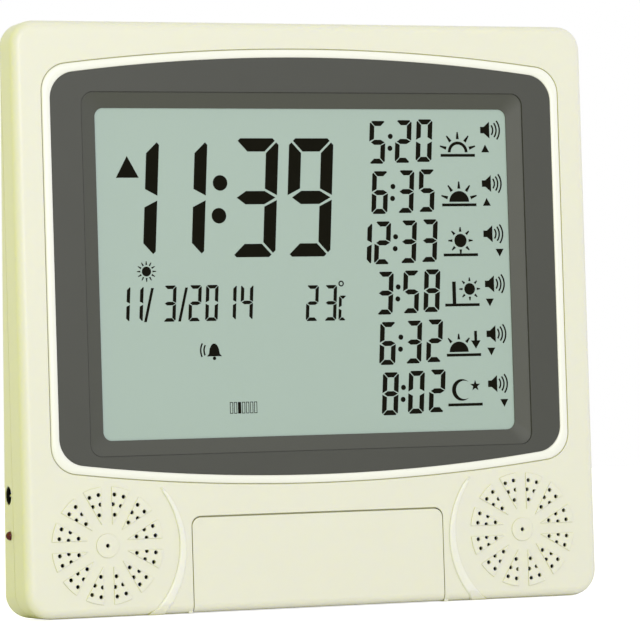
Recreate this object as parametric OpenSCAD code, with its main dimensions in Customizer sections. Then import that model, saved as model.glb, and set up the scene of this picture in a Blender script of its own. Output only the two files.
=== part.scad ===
// Wall and table clock with a large liquid crystal display, two loudspeakers and a key flap.
// Millimetres. X runs to the right, Y to the back and Z up. The origin is the middle of the base.
// Depths are counted from the flat front face towards the back.

/* [Case] */
// Width of the case
case_w = 280; // [270:1:320]
// Height of the case
case_h = 265; // [262:1:300]
// Depth of the case at its base
base_depth = 31; // [30:0.5:40]
// Depth of the case at its top edge
top_depth = 16.3; // [16.2:0.1:20]
// Depth of the front shell, from the front face to the seam
shell_depth = 16; // [15.5:0.1:16.1]
// Thickness of the case walls
wall = 2.5; // [2:0.1:3]
// Radius of the two top corners of the case
top_corner_r = 11; // [9:0.5:14]
// Radius of the two bottom corners of the case
base_corner_r = 12; // [10:0.5:14]
// Radius of the rounded front edge of the case
front_edge_r = 4; // [3:0.1:5]
// Radius of the rounded rear edge of the case
rear_edge_r = 1.2; // [0.8:0.1:1.5]
// Width and depth of the fine groove along the seam
seam_w = 0.3; // [0.2:0.05:0.4]
// Length of the lip of the back cover inside the front shell
lip_len = 2.5; // [2:0.1:3]
// Thickness of that lip
lip_t = 1.6; // [1.2:0.1:2]

/* [Display surround] */
// Width of the case beside the trim ring
side_border = 13.4; // [11:0.1:16]
// Height of the case above the trim ring
top_border = 12.1; // [10:0.1:15]
// How far the trim ring reaches down past the top of the loudspeakers at its middle
ring_drop = 3.4; // [2:0.1:4]
// Radius of the arched top and bottom edges of the bezel
bezel_arc_r = 888; // [700:1:1200]
// Radius of the corners of the bezel
bezel_corner_r = 12.2; // [9:0.1:14]
// Thickness of the bezel plate
bezel_t = 2.2; // [2:0.1:2.4]
// Width of the white trim ring at the sides
ring_w = 3.9; // [3:0.1:5]
// How far the trim ring stands proud of the front face
ring_proud = 0.3; // [0.1:0.1:0.6]
// Width of the groove between the trim ring and the case
ring_gap = 0.4; // [0.2:0.05:0.5]
// Depth of that groove
ring_groove = 0.6; // [0.3:0.1:1]
// Thickness of the ledge that carries the ring and the bezel
ledge_t = 2.2; // [1.8:0.1:2.6]
// Width of the bezel beside the window
bezel_side = 21.6; // [20:0.1:26]
// Height of the bezel above the window
bezel_top = 22.9; // [21:0.1:27]
// Height of the bezel below the window
bezel_base = 17.7; // [17:0.1:22]
// Width of the sloping band round the window
band_w = 7.2; // [6:0.1:8]
// Depth of the step at the outside of the sloping band
band_step = 0.5; // [0.3:0.1:0.7]
// Width and depth of the fine groove at the foot of that step
band_groove = 0.3; // [0.2:0.05:0.4]
// Depth of the inner edge of the sloping band
band_depth = 2.9; // [2.5:0.1:3.2]
// Thickness of the bezel at the edge of the window
window_edge_t = 0.5; // [0.4:0.1:0.8]

/* [Display] */
// Thickness of one glass plate of the display
glass_t = 1.1; // [0.7:0.1:1.1]
// Thickness of the front polariser film
film_t = 0.2; // [0.15:0.05:0.3]
// Thickness of the reflector film behind the glass
reflector_t = 0.3; // [0.2:0.05:0.4]
// Width of the contact ledge along the top and the bottom of the glass
contact_ledge = 3; // [2.5:0.1:3.5]
// How far the front glass reaches past the window on each side
glass_reach = 2.8; // [2.5:0.1:3]
// Thickness of the dark segments
segment_t = 0.06; // [0.05:0.01:0.1]
// Slant of the digits in degrees
digit_slant = 3.6; // [0:0.1:8]
// Height of the large time digits
time_h = 53.8; // [45:0.1:56]
// Height of the digits in the six lines on the right
line_h = 19.6; // [16:0.1:21]
// Height of the date and temperature digits
date_h = 16.2; // [12:0.1:18]
// Distance between two lines on the right
line_pitch = 23.05; // [21:0.05:24]

/* [Boards] */
// Thickness of the circuit boards
board_t = 1.6; // [1.2:0.1:1.6]
// How far the main board reaches past the display holder on each side
board_reach = 6.3; // [5.5:0.1:7]
// Radius of the board screw shank
board_screw_r = 1.0; // [0.9:0.05:1.1]

/* [Loudspeakers] */
// Distance of the middle of each loudspeaker from the side of the case
speaker_inset = 38.35; // [37.5:0.05:42]
// Gap between the loudspeaker rims and the outside of the base
speaker_lift = 1.4; // [1.2:0.1:3]
// Outer radius of a loudspeaker
speaker_r = 28.3; // [27:0.1:28.4]
// Outer radius of the raised pads of the grille
grille_r = 26.2; // [25:0.1:27]
// Height of the raised pads of the grille
relief = 0.4; // [0.3:0.1:0.6]
// Height of the crescent rib beside each grille
rib_relief = 0.8; // [0.5:0.05:0.8]
// Thickness of the case wall where the sound holes go through it
grille_t = 1; // [0.8:0.1:1.4]
// Width of the plain spokes between the pads
spoke_w = 5; // [4.4:0.1:5.4]
// Radius of a sound hole
sound_hole_r = 0.92; // [0.8:0.02:1]
// Radius of the speaker magnet
magnet_r = 16; // [14:0.5:17]

/* [Key flap] */
// Distance of each side of the flap from the loudspeaker beside it
flap_margin = 12.05; // [11.5:0.05:16]
// Height of the top edge of the flap above the base
flap_top = 42.6; // [40:0.1:43]
// Thickness of the flap
flap_t = 2.2; // [1.8:0.1:2.4]
// Radius of the rolled bottom edge of the flap
flap_roll_r = 3.8; // [3.6:0.1:4]
// Gap above the flap
flap_top_gap = 0.7; // [0.5:0.1:0.9]
// Gap at each side of the flap
flap_side_gap = 0.35; // [0.25:0.05:0.5]
// Radius of the flap's hinge studs
stud_r = 1.5; // [1.2:0.1:1.6]
// Radial clearance of pins in their holes
pin_clearance = 0.06; // [0.04:0.01:0.1]

/* [Keys] */
// Number of keys
key_count = 6; // [4:1:6]
// Space between two keys
key_space = 7; // [6:0.5:9]
// Half a key space and the margin between the last key and the side of the flap
key_margin = 7.3; // [7:0.1:12]
// Height of a key
key_h = 7; // [6:0.5:8]
// How far a key stands out of the key panel
key_proud = 2.4; // [2:0.1:3]
// Travel of a key
key_travel = 0.5; // [0.3:0.05:0.6]
// Gap round each key
key_gap = 0.3; // [0.25:0.05:0.4]

/* [Battery bay] */
// Height of the middle of the battery bay above the foot of the trim ring
bay_rise = 1.5; // [0.5:0.1:2]
// Length of one cell
cell_len = 50.5; // [44:0.1:50.5]
// Diameter of one cell
cell_d = 14.5; // [10.5:0.1:14.5]
// Number of cells in a row
cell_count = 2; // [1:1:2]
// Thickness of the battery door
bay_door_t = 1.9; // [1.6:0.1:2.1]
// Free length of the battery spring
spring_len = 8; // [6:0.5:9]
// Turns of the battery spring
spring_turns = 5; // [4:1:6]

/* [Power inlet] */
// Height of the power inlet above the base
jack_z = 55; // [52:0.5:56]
// Depth of the power inlet
jack_depth = 21.8; // [21.4:0.1:22]
// Radius of the hole for the power inlet in the side wall
jack_hole_r = 4.2; // [4:0.1:4.2]
// Height of the indicator lamp above the base
lamp_z = 37.2; // [34:0.1:40]
// Depth of the indicator lamp
lamp_depth = 20.7; // [20:0.1:22]
// Radius of the indicator lamp
lamp_r = 2; // [1.5:0.1:2.2]

/* [Wall hanging] */
// Distance between the two keyholes
keyhole_pitch = 140; // [100:5:160]
// Distance of the keyholes from the top of the case
keyhole_drop = 53; // [51:1:65]
// Radius of the round part of a keyhole
keyhole_r = 4.5; // [4:0.1:5]
// Half the width of the slot of a keyhole
keyhole_slot_r = 2.25; // [2:0.05:2.5]

/* [Hidden] */
$fn = 64;
front_y = -base_depth / 2;
slope = atan((base_depth - top_depth) / case_h);
eps = 0.01;
corner_steps = 12;
arc_steps = 40;
arc_trim = arc_steps / (arc_steps + 2);
big = 400;

cream = "#efeedd";
white = "#f6f6f2";
charcoal = "#5d5d58";
ink = "#1a1a14";
board_green = "#2f6b45";
steel = "#b9bcbf";
black = "#232323";

// Sizes that follow from the driving dimensions
rim_gap = 0.3;
rim_t = 1.6;
speaker_x = case_w / 2 - speaker_inset;
speaker_z = speaker_r + rim_gap + rim_t + speaker_lift;
flap_w = 2 * (speaker_x - speaker_r - flap_margin);
key_pitch = (flap_w - 2 * key_margin) / key_count;
key_w = key_pitch - key_space;
foot_z = speaker_z + speaker_r - ring_drop;
ring_out_w = case_w - 2 * side_border;
ring_out_h = case_h - foot_z - top_border;
display_z = foot_z + ring_out_h / 2;
bezel_w = ring_out_w - 2 * ring_w;
bezel_h = ring_out_h - 2 * ring_w + 0.3;
window_w = bezel_w - 2 * bezel_side;
window_h = bezel_h - bezel_top - bezel_base;
window_z = display_z - bezel_h / 2 + bezel_base + window_h / 2;
bay_z = foot_z + bay_rise;
keyhole_z = case_h - keyhole_drop;

lip_gap = 0.2;
side_wall = wall + lip_gap + lip_t;
boss_top = shell_depth - 3;
screw_seat = shell_depth - 1.2;
screw_r = 1.5;
screw_head_r = 2.8;
screw_head_t = 1.6;
screw_boss_r = 3.8;
screw_post_r = 4.4;
screw_well_r = 3.1;
corner_screw_x = case_w / 2 - 8.7;
side_screw_x = case_w / 2 - 7.4;
case_screw_places = [
    for (side = [-1, 1]) each [
        [side * corner_screw_x, case_h - 8.7], [side * side_screw_x, display_z],
        [side * side_screw_x, foot_z + 9.5], [side * (flap_w / 2 + 5.6), 8]
    ]
];

ring_arc_r = bezel_arc_r + 45;
ring_corner_r = bezel_corner_r + 0.3;
ring_fit = 0.1;
rebate_w = 1.8;
rebate_depth = 1.3;
flange_w = rebate_w - 0.2;

picture_w = 202.2;
picture_h = 148.3;
picture_fit = min(window_w / picture_w, window_h / picture_h);
film_depth = band_depth + window_edge_t;
front_glass_depth = film_depth + film_t;
rear_glass_depth = front_glass_depth + glass_t;
reflector_depth = rear_glass_depth + glass_t;
board_depth = reflector_depth + reflector_t + 0.7;
glass_w = window_w + 2 * glass_reach;
rear_glass_h = window_h + 1.2;
front_glass_h = rear_glass_h + 2 * contact_ledge;
glass_gap = 0.3;
block_wall = 3;
block_w = glass_w + 2 * (glass_gap + block_wall);
block_h = front_glass_h + 2 * (glass_gap + block_wall);
opening_w = block_w + 14;
opening_h = block_h + 1.1;
board_w = block_w + 2 * board_reach;
board_h = block_h;
chips_x = -board_w / 2 + 53.5;
board_screw_rise = window_h / 2 - 2.15;
board_boss_r = 2.9;
board_screw_places = [
    for (side = [-1, 1]) for (up = [-1, 0, 1]) [side * (block_w / 2 + 3.2), window_z + up * board_screw_rise]
];
peg_r = 1.2;
peg_x = window_w / 2 - 31.1;
peg_rise = bezel_h / 2 - 34.45;
peg_head_r = 2;
peg_head_t = 0.8;
ledge_back = bezel_t + ledge_t;
peg_places = [
    for (side = [-1, 1]) for (up = [-1, 0, 1]) [side * (bezel_w / 2 - 4.4), display_z + up * peg_rise],
    for (side = [-1, 0, 1]) [side * peg_x, window_z + opening_h / 2 + (side == 0 ? 7.6 : 6)],
    for (side = [-1, 0, 1]) [side * peg_x, window_z - opening_h / 2 - (side == 0 ? 5 : 3.6)]
];

gasket_t = 0.8;
flange_t = 0.8;
gasket_depth = wall;
flange_depth = gasket_depth + gasket_t;
speaker_back = flange_depth + flange_t;
basket_depth = speaker_back + 9;
rim_r = speaker_r + rim_gap;
pad_count = 12;
rib_outer_r = speaker_r + 14.5;
rib_inner_r = speaker_r + 11.7;
rib_flank = 1.4;
rib_round = (rib_flank * rib_flank + rib_relief * rib_relief) / (2 * rib_relief);
speaker_boss_r = 2.6;
speaker_boss_reach = speaker_r + 3.7;
speaker_screw_angles = [40, 140, 220, 320];
washer_r = 5;
washer_t = 0.6;
small_head_r = 2.2;
small_head_t = 1.5;
pilot_gap = 0.05;
capacitor_r = 4;
capacitor_h = 8;

hinge_depth = flap_roll_r;
hinge_z = flap_roll_r + 0.2;
flap_corner_r = 4;
recess_half = flap_w / 2 + flap_side_gap;
recess_top = flap_top + flap_top_gap;
recess_wall = 2;
panel_depth = 2 * flap_roll_r + 0.8;
panel_t = 2;
panel_back = panel_depth + panel_t;
stud_len = recess_wall - 0.2;
key_z = 24;
key_flange = 1.5;
key_flange_t = 0.8;
key_rest_gap = 0.1;
key_flange_depth = panel_back + key_rest_gap;
key_foot_end = key_flange_depth + key_flange_t + 0.6;
plunger_r = 1.7;
plunger_len = 2;
switch_w = 6;
switch_depth = key_foot_end + 1;
switch_t = 3;
switch_bore = key_travel + 1.3;
key_board_depth = switch_depth + switch_t;
key_board_w = 2 * (flap_w / 2 - 0.3);
key_board_h = 35;
key_screw_places = [
    for (side = [-1, 1]) for (up = [-1, 1]) [side * (key_board_w / 2 - 4), key_z + up * 13.5]
];

bay_len = cell_count * cell_len + spring_len + 2;
bay_high = cell_d + 1.2;
bay_deep = cell_d + 0.7;
bay_wall = 2.2;
bay_floor = 1.5;
bay_seat = 1.2;
bay_door_gap = 0.3;
bay_door_len = bay_len + 2 * bay_seat;
bay_door_high = bay_high + 2 * bay_seat;
bay_seat_y = -(bay_door_t + 0.1);
bay_bottom_y = bay_seat_y - bay_deep;
bay_pin_r = 0.5;
bay_pin_len = 1.8;
bay_hinge_y = -bay_door_t / 2;
bay_hinge_v = -bay_door_high / 2 + bay_door_t / 2;
contact_t = 0.4;
contact_w = 10;
spring_wire_r = 0.35;
spring_base_r = 4.2;
spring_tip_r = 3;
spring_rings = 14;

jack_body_w = 8.6;
jack_body_h = 9.8;
jack_body_len = 13;
jack_bore_r = 3.15;
jack_bore_len = 9.5;
jack_pin_r = 1;
power_board_front = jack_depth - jack_body_w / 2 - board_t;
power_board_x = -case_w / 2 + 4.8;
power_board_w = 13.7;
power_board_z = lamp_z - 6.2;
power_board_h = jack_z + 6 - power_board_z;
power_screw_x = -case_w / 2 + 15;
power_screw_places = [[power_screw_x, power_board_z + 3.4], [power_screw_x, jack_z - 9]];
power_post_r = 2.3;
pocket_wall = 1.2;
keyhole_reach = 5;
keyhole_pocket_w = 14;
keyhole_pocket_h = 24;
keyhole_pocket_depth = 11.7;
surround_r = speaker_r - 3.2;
lamp_hole_r = lamp_r + 0.06;

function back_depth(z) = base_depth - z * (base_depth - top_depth) / case_h;
function back_y(z) = front_y + back_depth(z);

// Extrudes a front-view outline from one depth through a thickness.
module slab(depth, t) {
    translate([0, front_y + depth + t, 0]) rotate([90, 0, 0]) linear_extrude(t) children();
}

// A round rod that runs from front to back.
module rod(place, depth, len, r) {
    translate([place[0], front_y + depth, place[1]]) rotate([-90, 0, 0]) cylinder(h = len, r = r);
}

// A turned shape on a front-to-back axis, drawn as radius against depth.
module turned(place) {
    translate([place[0], front_y, place[1]]) rotate([-90, 0, 0]) rotate_extrude($fn = 96) children();
}

// Local frame on the sloping rear face: X right, Y outwards and Z up the face.
module on_back(z) {
    translate([0, back_y(z), z]) rotate([slope, 0, 0]) children();
}

module rounded(w, h, r) {
    square([w - 2 * r, h], center = true);
    square([w, h - 2 * r], center = true);
    for (sx = [-1, 1]) for (sz = [-1, 1]) translate([sx * (w / 2 - r), sz * (h / 2 - r)]) circle(r);
}

function arc_points(x, z, r, from, to, steps) = [
    for (i = [0 : steps]) let (a = from + (to - from) * i / steps) [x + r * cos(a), z + r * sin(a)]
];

// Outline with straight sides, arched top and bottom and round corners, about its middle.
module arched(w, h, arc_r, corner_r) {
    rise = arc_r - h / 2;
    corner_x = w / 2 - corner_r;
    corner_z = sqrt(pow(arc_r - corner_r, 2) - pow(corner_x, 2)) - rise;
    lean = asin(corner_x / (arc_r - corner_r));
    points = concat(
        arc_points(corner_x, corner_z, corner_r, 0, 90 - lean, corner_steps),
        arc_points(0, -rise, arc_r, 90 - lean * arc_trim, 90 + lean * arc_trim, arc_steps),
        arc_points(-corner_x, corner_z, corner_r, 90 + lean, 180, corner_steps),
        arc_points(-corner_x, -corner_z, corner_r, 180, 270 - lean, corner_steps),
        arc_points(0, rise, arc_r, 270 - lean * arc_trim, 270 + lean * arc_trim, arc_steps),
        arc_points(corner_x, -corner_z, corner_r, 270 + lean, 360, corner_steps)
    );
    polygon(points);
}

module bezel_outline(grow) {
    translate([0, display_z])
        arched(bezel_w + 2 * grow, bezel_h + 2 * grow, bezel_arc_r + grow, bezel_corner_r + grow);
}

module ring_outline(grow) {
    translate([0, display_z])
        arched(ring_out_w + 2 * grow, ring_out_h + 2 * grow, ring_arc_r + grow, ring_corner_r + grow);
}

module window_outline(grow_w, grow_h, r) {
    translate([0, window_z]) rounded(window_w + 2 * grow_w, window_h + 2 * grow_h, r);
}

module display_rect(w, h, r = 1) {
    translate([0, window_z]) rounded(w, h, r);
}

// Front view of the case, drawn in from its outside by an inset, for a case of height h. Its
// corners can be made sharper than those of the case.
module case_outline(h, inset, sharper = 0) {
    half = case_w / 2 - inset;
    base_r = base_corner_r - inset - sharper;
    top_r = top_corner_r - inset - sharper;
    translate([-half, inset + base_r]) square([2 * half, h - 2 * inset - base_r - top_r]);
    translate([-half + base_r, inset]) square([2 * (half - base_r), h / 2]);
    translate([-half + top_r, h / 2]) square([2 * (half - top_r), h / 2 - inset]);
    for (side = [-1, 1]) {
        translate([side * (half - base_r), inset + base_r]) circle(base_r);
        translate([side * (half - top_r), h - inset - top_r]) circle(top_r);
    }
}

// Quarter of a round edge: a curve from the front face to the side.
module edge_quarter(r) {
    intersection() {
        translate([0, r]) circle(r);
        square([r, r]);
    }
}

// Quarter turn of a round edge at a corner of the outline.
module edge_corner(corner_r, r, turn) {
    rotate([-90, 0, 0]) rotate([0, 0, turn]) rotate_extrude(angle = 90, $fn = 96) {
        square([corner_r - r, r]);
        translate([corner_r - r, 0]) edge_quarter(r);
    }
}

// Solid case shape with a round edge of radius r on its face at y = 0 and running to y = depth.
module round_edged_block(h, r, depth, sharper = 0) {
    half = case_w / 2;
    base_r = base_corner_r - sharper;
    top_r = top_corner_r - sharper;
    translate([0, r, 0]) rotate([90, 0, 0]) linear_extrude(r) case_outline(h, r, sharper);
    translate([0, depth, 0]) rotate([90, 0, 0]) linear_extrude(depth - r) case_outline(h, 0, sharper);
    side_len = h - base_r - top_r;
    for (side = [0, 1]) mirror([side, 0, 0]) {
        translate([half - r, 0, base_r]) linear_extrude(side_len) edge_quarter(r);
        translate([half - base_r, 0, base_r]) edge_corner(base_r, r, 0);
        translate([half - top_r, 0, h - top_r]) edge_corner(top_r, r, 270);
    }
    base_len = case_w - 2 * base_r;
    top_len = case_w - 2 * top_r;
    translate([-base_len / 2, 0, r]) rotate([0, 90, 0]) linear_extrude(base_len) edge_quarter(r);
    translate([top_len / 2, 0, h - r]) rotate([0, -90, 0]) linear_extrude(top_len) edge_quarter(r);
}

// Raised pads of one grille, between straight spokes.
module grille_pads() {
    difference() {
        circle(grille_r, $fn = 96);
        for (turn = [0 : 30 : 150]) rotate(turn) square([2 * grille_r + 2, spoke_w], center = true);
    }
    circle(5.3);
}

module grille_holes() {
    hole_rings = [[14.09, 0], [18.56, 5.8], [18.56, -5.8], [22.88, 5.5], [22.88, -5.5]];
    intersection() {
        for (pad = [0 : pad_count - 1]) for (hole = hole_rings)
            rotate(pad * 30 + 15 + hole[1]) translate([hole[0], 0]) circle(sound_hole_r, $fn = 24);
        grille_pads();
    }
    circle(sound_hole_r, $fn = 24);
}

// Section of the rib's outer flank, as radius against depth: flat on top, then round down past the face.
module rib_inside(r) {
    middle = rib_round - rib_relief;
    translate([0, -rib_relief]) square([r - rib_flank, 3]);
    intersection() {
        translate([r - rib_flank, middle]) circle(rib_round, $fn = 96);
        translate([0, -rib_relief]) square([r + rib_round, rib_round]);
    }
    translate([0, middle]) square([r - rib_flank + rib_round, 3 - rib_round]);
}

// Section of what is taken away inside the rib, with the same round flank the other way.
module rib_outside(r) {
    middle = rib_round - rib_relief;
    difference() {
        translate([0, -1 - rib_relief]) square([r + rib_flank, 5]);
        translate([r + rib_flank, middle]) circle(rib_round, $fn = 96);
        translate([r + rib_flank - rib_round, middle]) square([rib_round + 1, 5]);
    }
}

// Crescent rib beside a grille with a round back, thin at its upper tip and wider towards the base.
module side_rib() {
    intersection() {
        difference() {
            turned([-speaker_x - 5.75, speaker_z - 2.7]) rib_inside(rib_outer_r);
            turned([-speaker_x - 5.85, speaker_z - 0.3]) rib_outside(rib_inner_r);
        }
        slab(-1, 4) translate([-speaker_x + 15, 0]) square([30, speaker_z + 24.8]);
    }
}

module flap_outline(half, top, r) {
    translate([-half, -2]) square([2 * half, top + 2 - r]);
    translate([-half + r, 0]) square([2 * (half - r), top]);
    for (side = [-1, 1]) translate([side * (half - r), top - r]) circle(r);
}

module both_speakers() {
    children();
    mirror([1, 0, 0]) children();
}

function speaker_screw_place(side, turn) = [
    side * (speaker_x + speaker_boss_reach * cos(turn)), speaker_z + speaker_boss_reach * sin(turn)
];
speaker_screw_places = [
    for (side = [-1, 1]) for (turn = speaker_screw_angles) speaker_screw_place(side, turn)
];

module front_case() color(cream) {
    difference() {
        union() {
            difference() {
                translate([0, front_y, 0]) round_edged_block(case_h, front_edge_r, shell_depth);
                slab(wall, shell_depth) case_outline(case_h, wall);
            }
            slab(bezel_t, ledge_t) ring_outline(1.5);
            both_speakers() slab(-relief, relief + 1) translate([speaker_x, speaker_z]) grille_pads();
            both_speakers() front_rib();
            both_speakers() speaker_rim();
            for (place = speaker_screw_places)
                rod(place, wall / 2, speaker_back - wall / 2, speaker_boss_r);
            slab(wall / 2, panel_back - wall / 2) intersection() {
                flap_outline(recess_half + recess_wall, recess_top + recess_wall, flap_corner_r + 2.4);
                translate([-case_w / 2, 0]) square([case_w, case_h]);
            }
            for (place = key_screw_places) rod(place, panel_back - eps, key_board_depth - panel_back, 2.5);
            for (place = case_screw_places) rod(place, wall / 2, boss_top - wall / 2, screw_boss_r);
        }
        slab(-2, 2 + ring_groove) ring_outline(ring_gap);
        slab(-2, 2 + bezel_t) ring_outline(ring_fit);
        slab(shell_depth - seam_w, 1) difference() {
            case_outline(case_h, -1);
            case_outline(case_h, seam_w);
        }
        for (side = [-1, 1]) rod([side * speaker_x, speaker_z], grille_t, wall, surround_r, $fn = 96);
        slab(0, ledge_back + 1) display_rect(opening_w, opening_h, 3);
        for (place = peg_places) rod(place, 0, ledge_back + 1, peg_r + 0.1);
        both_speakers() slab(-2, wall + 3) translate([speaker_x, speaker_z]) grille_holes();
        slab(-2, 2 + panel_depth) flap_outline(recess_half, recess_top, flap_corner_r + flap_side_gap);
        for (i = [0 : key_count - 1]) slab(panel_depth - 1, panel_t + 2) key_outline(i, key_gap);
        translate([0, front_y + hinge_depth, hinge_z]) rotate([0, 90, 0])
            cylinder(h = 2 * (recess_half + recess_wall + 0.3), r = stud_r + pin_clearance, center = true);
        for (place = key_screw_places)
            rod(place, panel_back + 1, key_board_depth, board_screw_r + pilot_gap);
        for (place = speaker_screw_places)
            rod(place, 1, speaker_back, board_screw_r + pilot_gap);
        for (place = case_screw_places)
            rod(place, boss_top - 9, boss_top, screw_r + pilot_gap);
    }
}

// The rib follows the round front edge of the case down to the base.
module front_rib() {
    intersection() {
        side_rib();
        translate([0, front_y, 0]) union() {
            translate([-case_w / 2, -rib_relief, front_edge_r])
                cube([case_w, rib_relief + 3, case_h / 2]);
            translate([-case_w / 2, front_edge_r, front_edge_r]) rotate([0, 90, 0])
                cylinder(h = case_w, r = front_edge_r + rib_relief);
        }
        translate([-case_w / 2, front_y - rib_relief, 0]) cube([case_w, shell_depth, case_h]);
    }
}

module speaker_rim() {
    difference() {
        rod([speaker_x, speaker_z], wall / 2, speaker_back - wall / 2, rim_r + rim_t, $fn = 96);
        rod([speaker_x, speaker_z], wall, speaker_back, rim_r, $fn = 96);
    }
}

module key_outline(i, grow) {
    translate([(i - (key_count - 1) / 2) * key_pitch, key_z])
        rounded(key_w + 2 * grow, key_h + 2 * grow, 1.5 + grow);
}

module trim_ring() color(white) {
    flange_depth = rebate_depth + 0.1;
    slab(-ring_proud, ring_proud + flange_depth) difference() {
        ring_outline(0);
        bezel_outline(0.1);
    }
    slab(flange_depth, bezel_t - flange_depth) difference() {
        ring_outline(0);
        bezel_outline(-flange_w);
    }
}

module display_bezel() color(charcoal) {
    difference() {
        union() {
            slab(0, rebate_depth) bezel_outline(0);
            slab(rebate_depth, bezel_t - rebate_depth) bezel_outline(-rebate_w);
            slab(bezel_t - 1, board_depth - bezel_t + 1) display_rect(block_w, block_h, 2);
            for (place = board_screw_places)
                rod(place, bezel_t - 1, board_depth - bezel_t + 1, board_boss_r);
            for (place = peg_places) {
                rod(place, bezel_t - 1, ledge_t + 1 + eps, peg_r);
                rod(place, ledge_back + eps, peg_head_t, peg_head_r);
            }
        }
        slab(-1, 1 + band_step) window_outline(band_w, band_w - 0.05, 5.6);
        slab(0, band_step + band_groove) difference() {
            window_outline(band_w, band_w - 0.05, 5.6);
            window_outline(band_w - band_groove, band_w - 0.05 - band_groove, 5.6 - band_groove);
        }
        hull() {
            slab(band_step - eps, eps, $fn = 48) window_outline(band_w, band_w - 0.05, 5.6);
            slab(band_depth, eps, $fn = 48) window_outline(0, 0, 4);
        }
        slab(band_depth - 1, 3) window_outline(0, 0, 4);
        slab(film_depth, board_depth) display_rect(glass_w + 2 * glass_gap, front_glass_h + 2 * glass_gap);
        for (place = board_screw_places)
            rod(place, bezel_t, board_depth, board_screw_r + pilot_gap);
    }
}

module lcd_film() color("#aebcab") slab(film_depth, film_t) display_rect(glass_w, rear_glass_h);

module lcd_front_glass() color("#c9d3cb") slab(front_glass_depth, glass_t)
    display_rect(glass_w, front_glass_h);

module lcd_rear_glass() color("#bcc8bf") slab(rear_glass_depth, glass_t)
    display_rect(glass_w, rear_glass_h);

module lcd_reflector() color("#d5d8d2") slab(reflector_depth, reflector_t)
    display_rect(glass_w, rear_glass_h);

module contact_strips() color("#e2718c") {
    strip_t = contact_ledge - 1;
    for (side = [-1, 1]) slab(rear_glass_depth, board_depth - rear_glass_depth)
        translate([0, window_z + side * (front_glass_h / 2 - contact_ledge / 2)])
            square([glass_w - 6, strip_t], center = true);
}

// Segments lit for each figure, in the order top, upper right, lower right, bottom, lower left,
// upper left, middle.
figures = ["1111110", "0110000", "1101101", "1111001", "0110011", "1011011", "1011111", "1110000",
    "1111111", "1111011", "1001110"];

// Corners of one segment of a figure of width w, height h and stroke t, before its slant. A gap e
// parts the segments, g parts the two halves of a side, and c is cut off the outer corners.
function bar_points(w, t, e, c) = [[e + c, 0], [w - e - c, 0], [w - e - c / 2, c / 2],
    [w - e - t, t], [e + t, t], [e + c / 2, c / 2]];
function side_points(m, t, e, g, c) = [[0, e + c], [0, m - g], [t, m - g - t / 2], [t, e + t],
    [c / 2, e + c / 2]];
function middle_points(w, t, e) = [[t * 0.37, 0], [t * 1.1, t / 2], [w - e - t * 0.9, t / 2],
    [w - e, 0], [w - e - t * 0.9, -t / 2], [t * 1.1, -t / 2]];
function placed(points, x, z, x_way, z_way) = [for (p = points) [x + x_way * p[0], z + z_way * p[1]]];
function segment(k, w, h, t) = let (e = t * 0.12, g = t * 0.18, c = t * 0.38, m = h / 2)
    k == 0 ? placed(bar_points(w, t, e, c), 0, h, 1, -1) :
    k == 1 ? placed(side_points(m, t, e, g, c), w, h, -1, -1) :
    k == 2 ? placed(side_points(m, t, e, g, c), w, 0, -1, 1) :
    k == 3 ? bar_points(w, t, e, c) :
    k == 4 ? side_points(m, t, e, g, c) :
    k == 5 ? placed(side_points(m, t, e, g, c), 0, h, 1, -1) :
    placed(middle_points(w, t, e), 0, m, 1, 1);

function slanted(points) = [for (p = points) [p[0] + p[1] * tan(digit_slant), p[1]]];

module figure(n, w, h, t) {
    for (k = [0 : 6]) if (figures[n][k] == "1") polygon(slanted(segment(k, w, h, t)));
}

// Figures at their own places in one line: each entry is a figure and its left edge.
module figure_line(entries, z, w, h, t) {
    for (entry = entries) translate([entry[1], z]) figure(entry[0], w, h, t);
}

// Lower left corner of the line with index i on the right, from the middle of the window.
function line_z(i) = 49.1 - i * line_pitch;
function line_x(i) = 31.4 + i * 0.55;

module time_line(i, hours, minutes) {
    w = 8;
    t = 2.3;
    colon_x = 10.4;
    x = line_x(i);
    if (hours > 9) translate([x - 9.4, line_z(i) - 0.3]) figure(floor(hours / 10), w, line_h, t);
    translate([x, line_z(i)]) figure(hours % 10, w, line_h, t);
    translate([x + 13, line_z(i) + 0.4]) figure(floor(minutes / 10), w, line_h, t);
    translate([x + 23.5, line_z(i) + 0.8]) figure(minutes % 10, w, line_h, t);
    for (up = [0.36, 0.64])
        translate([x + colon_x + up * 1.3, line_z(i) + up * line_h]) circle(1.2, $fn = 24);
}

module lcd_segments() color(ink) slab(film_depth - segment_t, segment_t)
    translate([0, window_z]) scale(picture_fit) picture();

// All figures, drawn about the middle of a window of the size picture_w by picture_h.
module picture() {
    time_z = 6.9;
    date_z = -21.6;
    figure_line([[1, -95.7], [1, -72.5], [3, -37.9], [9, -10.9]], time_z, 21.8, time_h, 6);
    for (up = [0.35, 0.625]) translate([-44.1 + up * 3.6, time_z + up * time_h]) circle(3.5);
    figure_line([[1, -93.2], [1, -86.9], [3, -71.2], [2, -59.1], [0, -51], [1, -42.2], [4, -34.1]],
        date_z, 6, date_h, 1.6);
    for (x = [-80.2, -63.9]) translate([x, date_z])
        polygon([[0, 0], [1.3, 0], [5.1, date_h - 1], [3.8, date_h - 1]]);
    figure_line([[2, -2.1], [3, 6.9]], date_z - 0.8, 6, date_h, 1.6);
    translate([14, date_z - 0.8]) figure(10, 3.8, date_h * 0.7, 1.4);
    translate([15.9, date_z + date_h - 0.2]) difference() {
        circle(1.35, $fn = 24);
        circle(0.75, $fn = 24);
    }
    times = [[5, 20], [6, 35], [12, 33], [3, 58], [6, 32], [8, 2]];
    for (i = [0 : 5]) time_line(i, times[i][0], times[i][1]);
}

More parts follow.
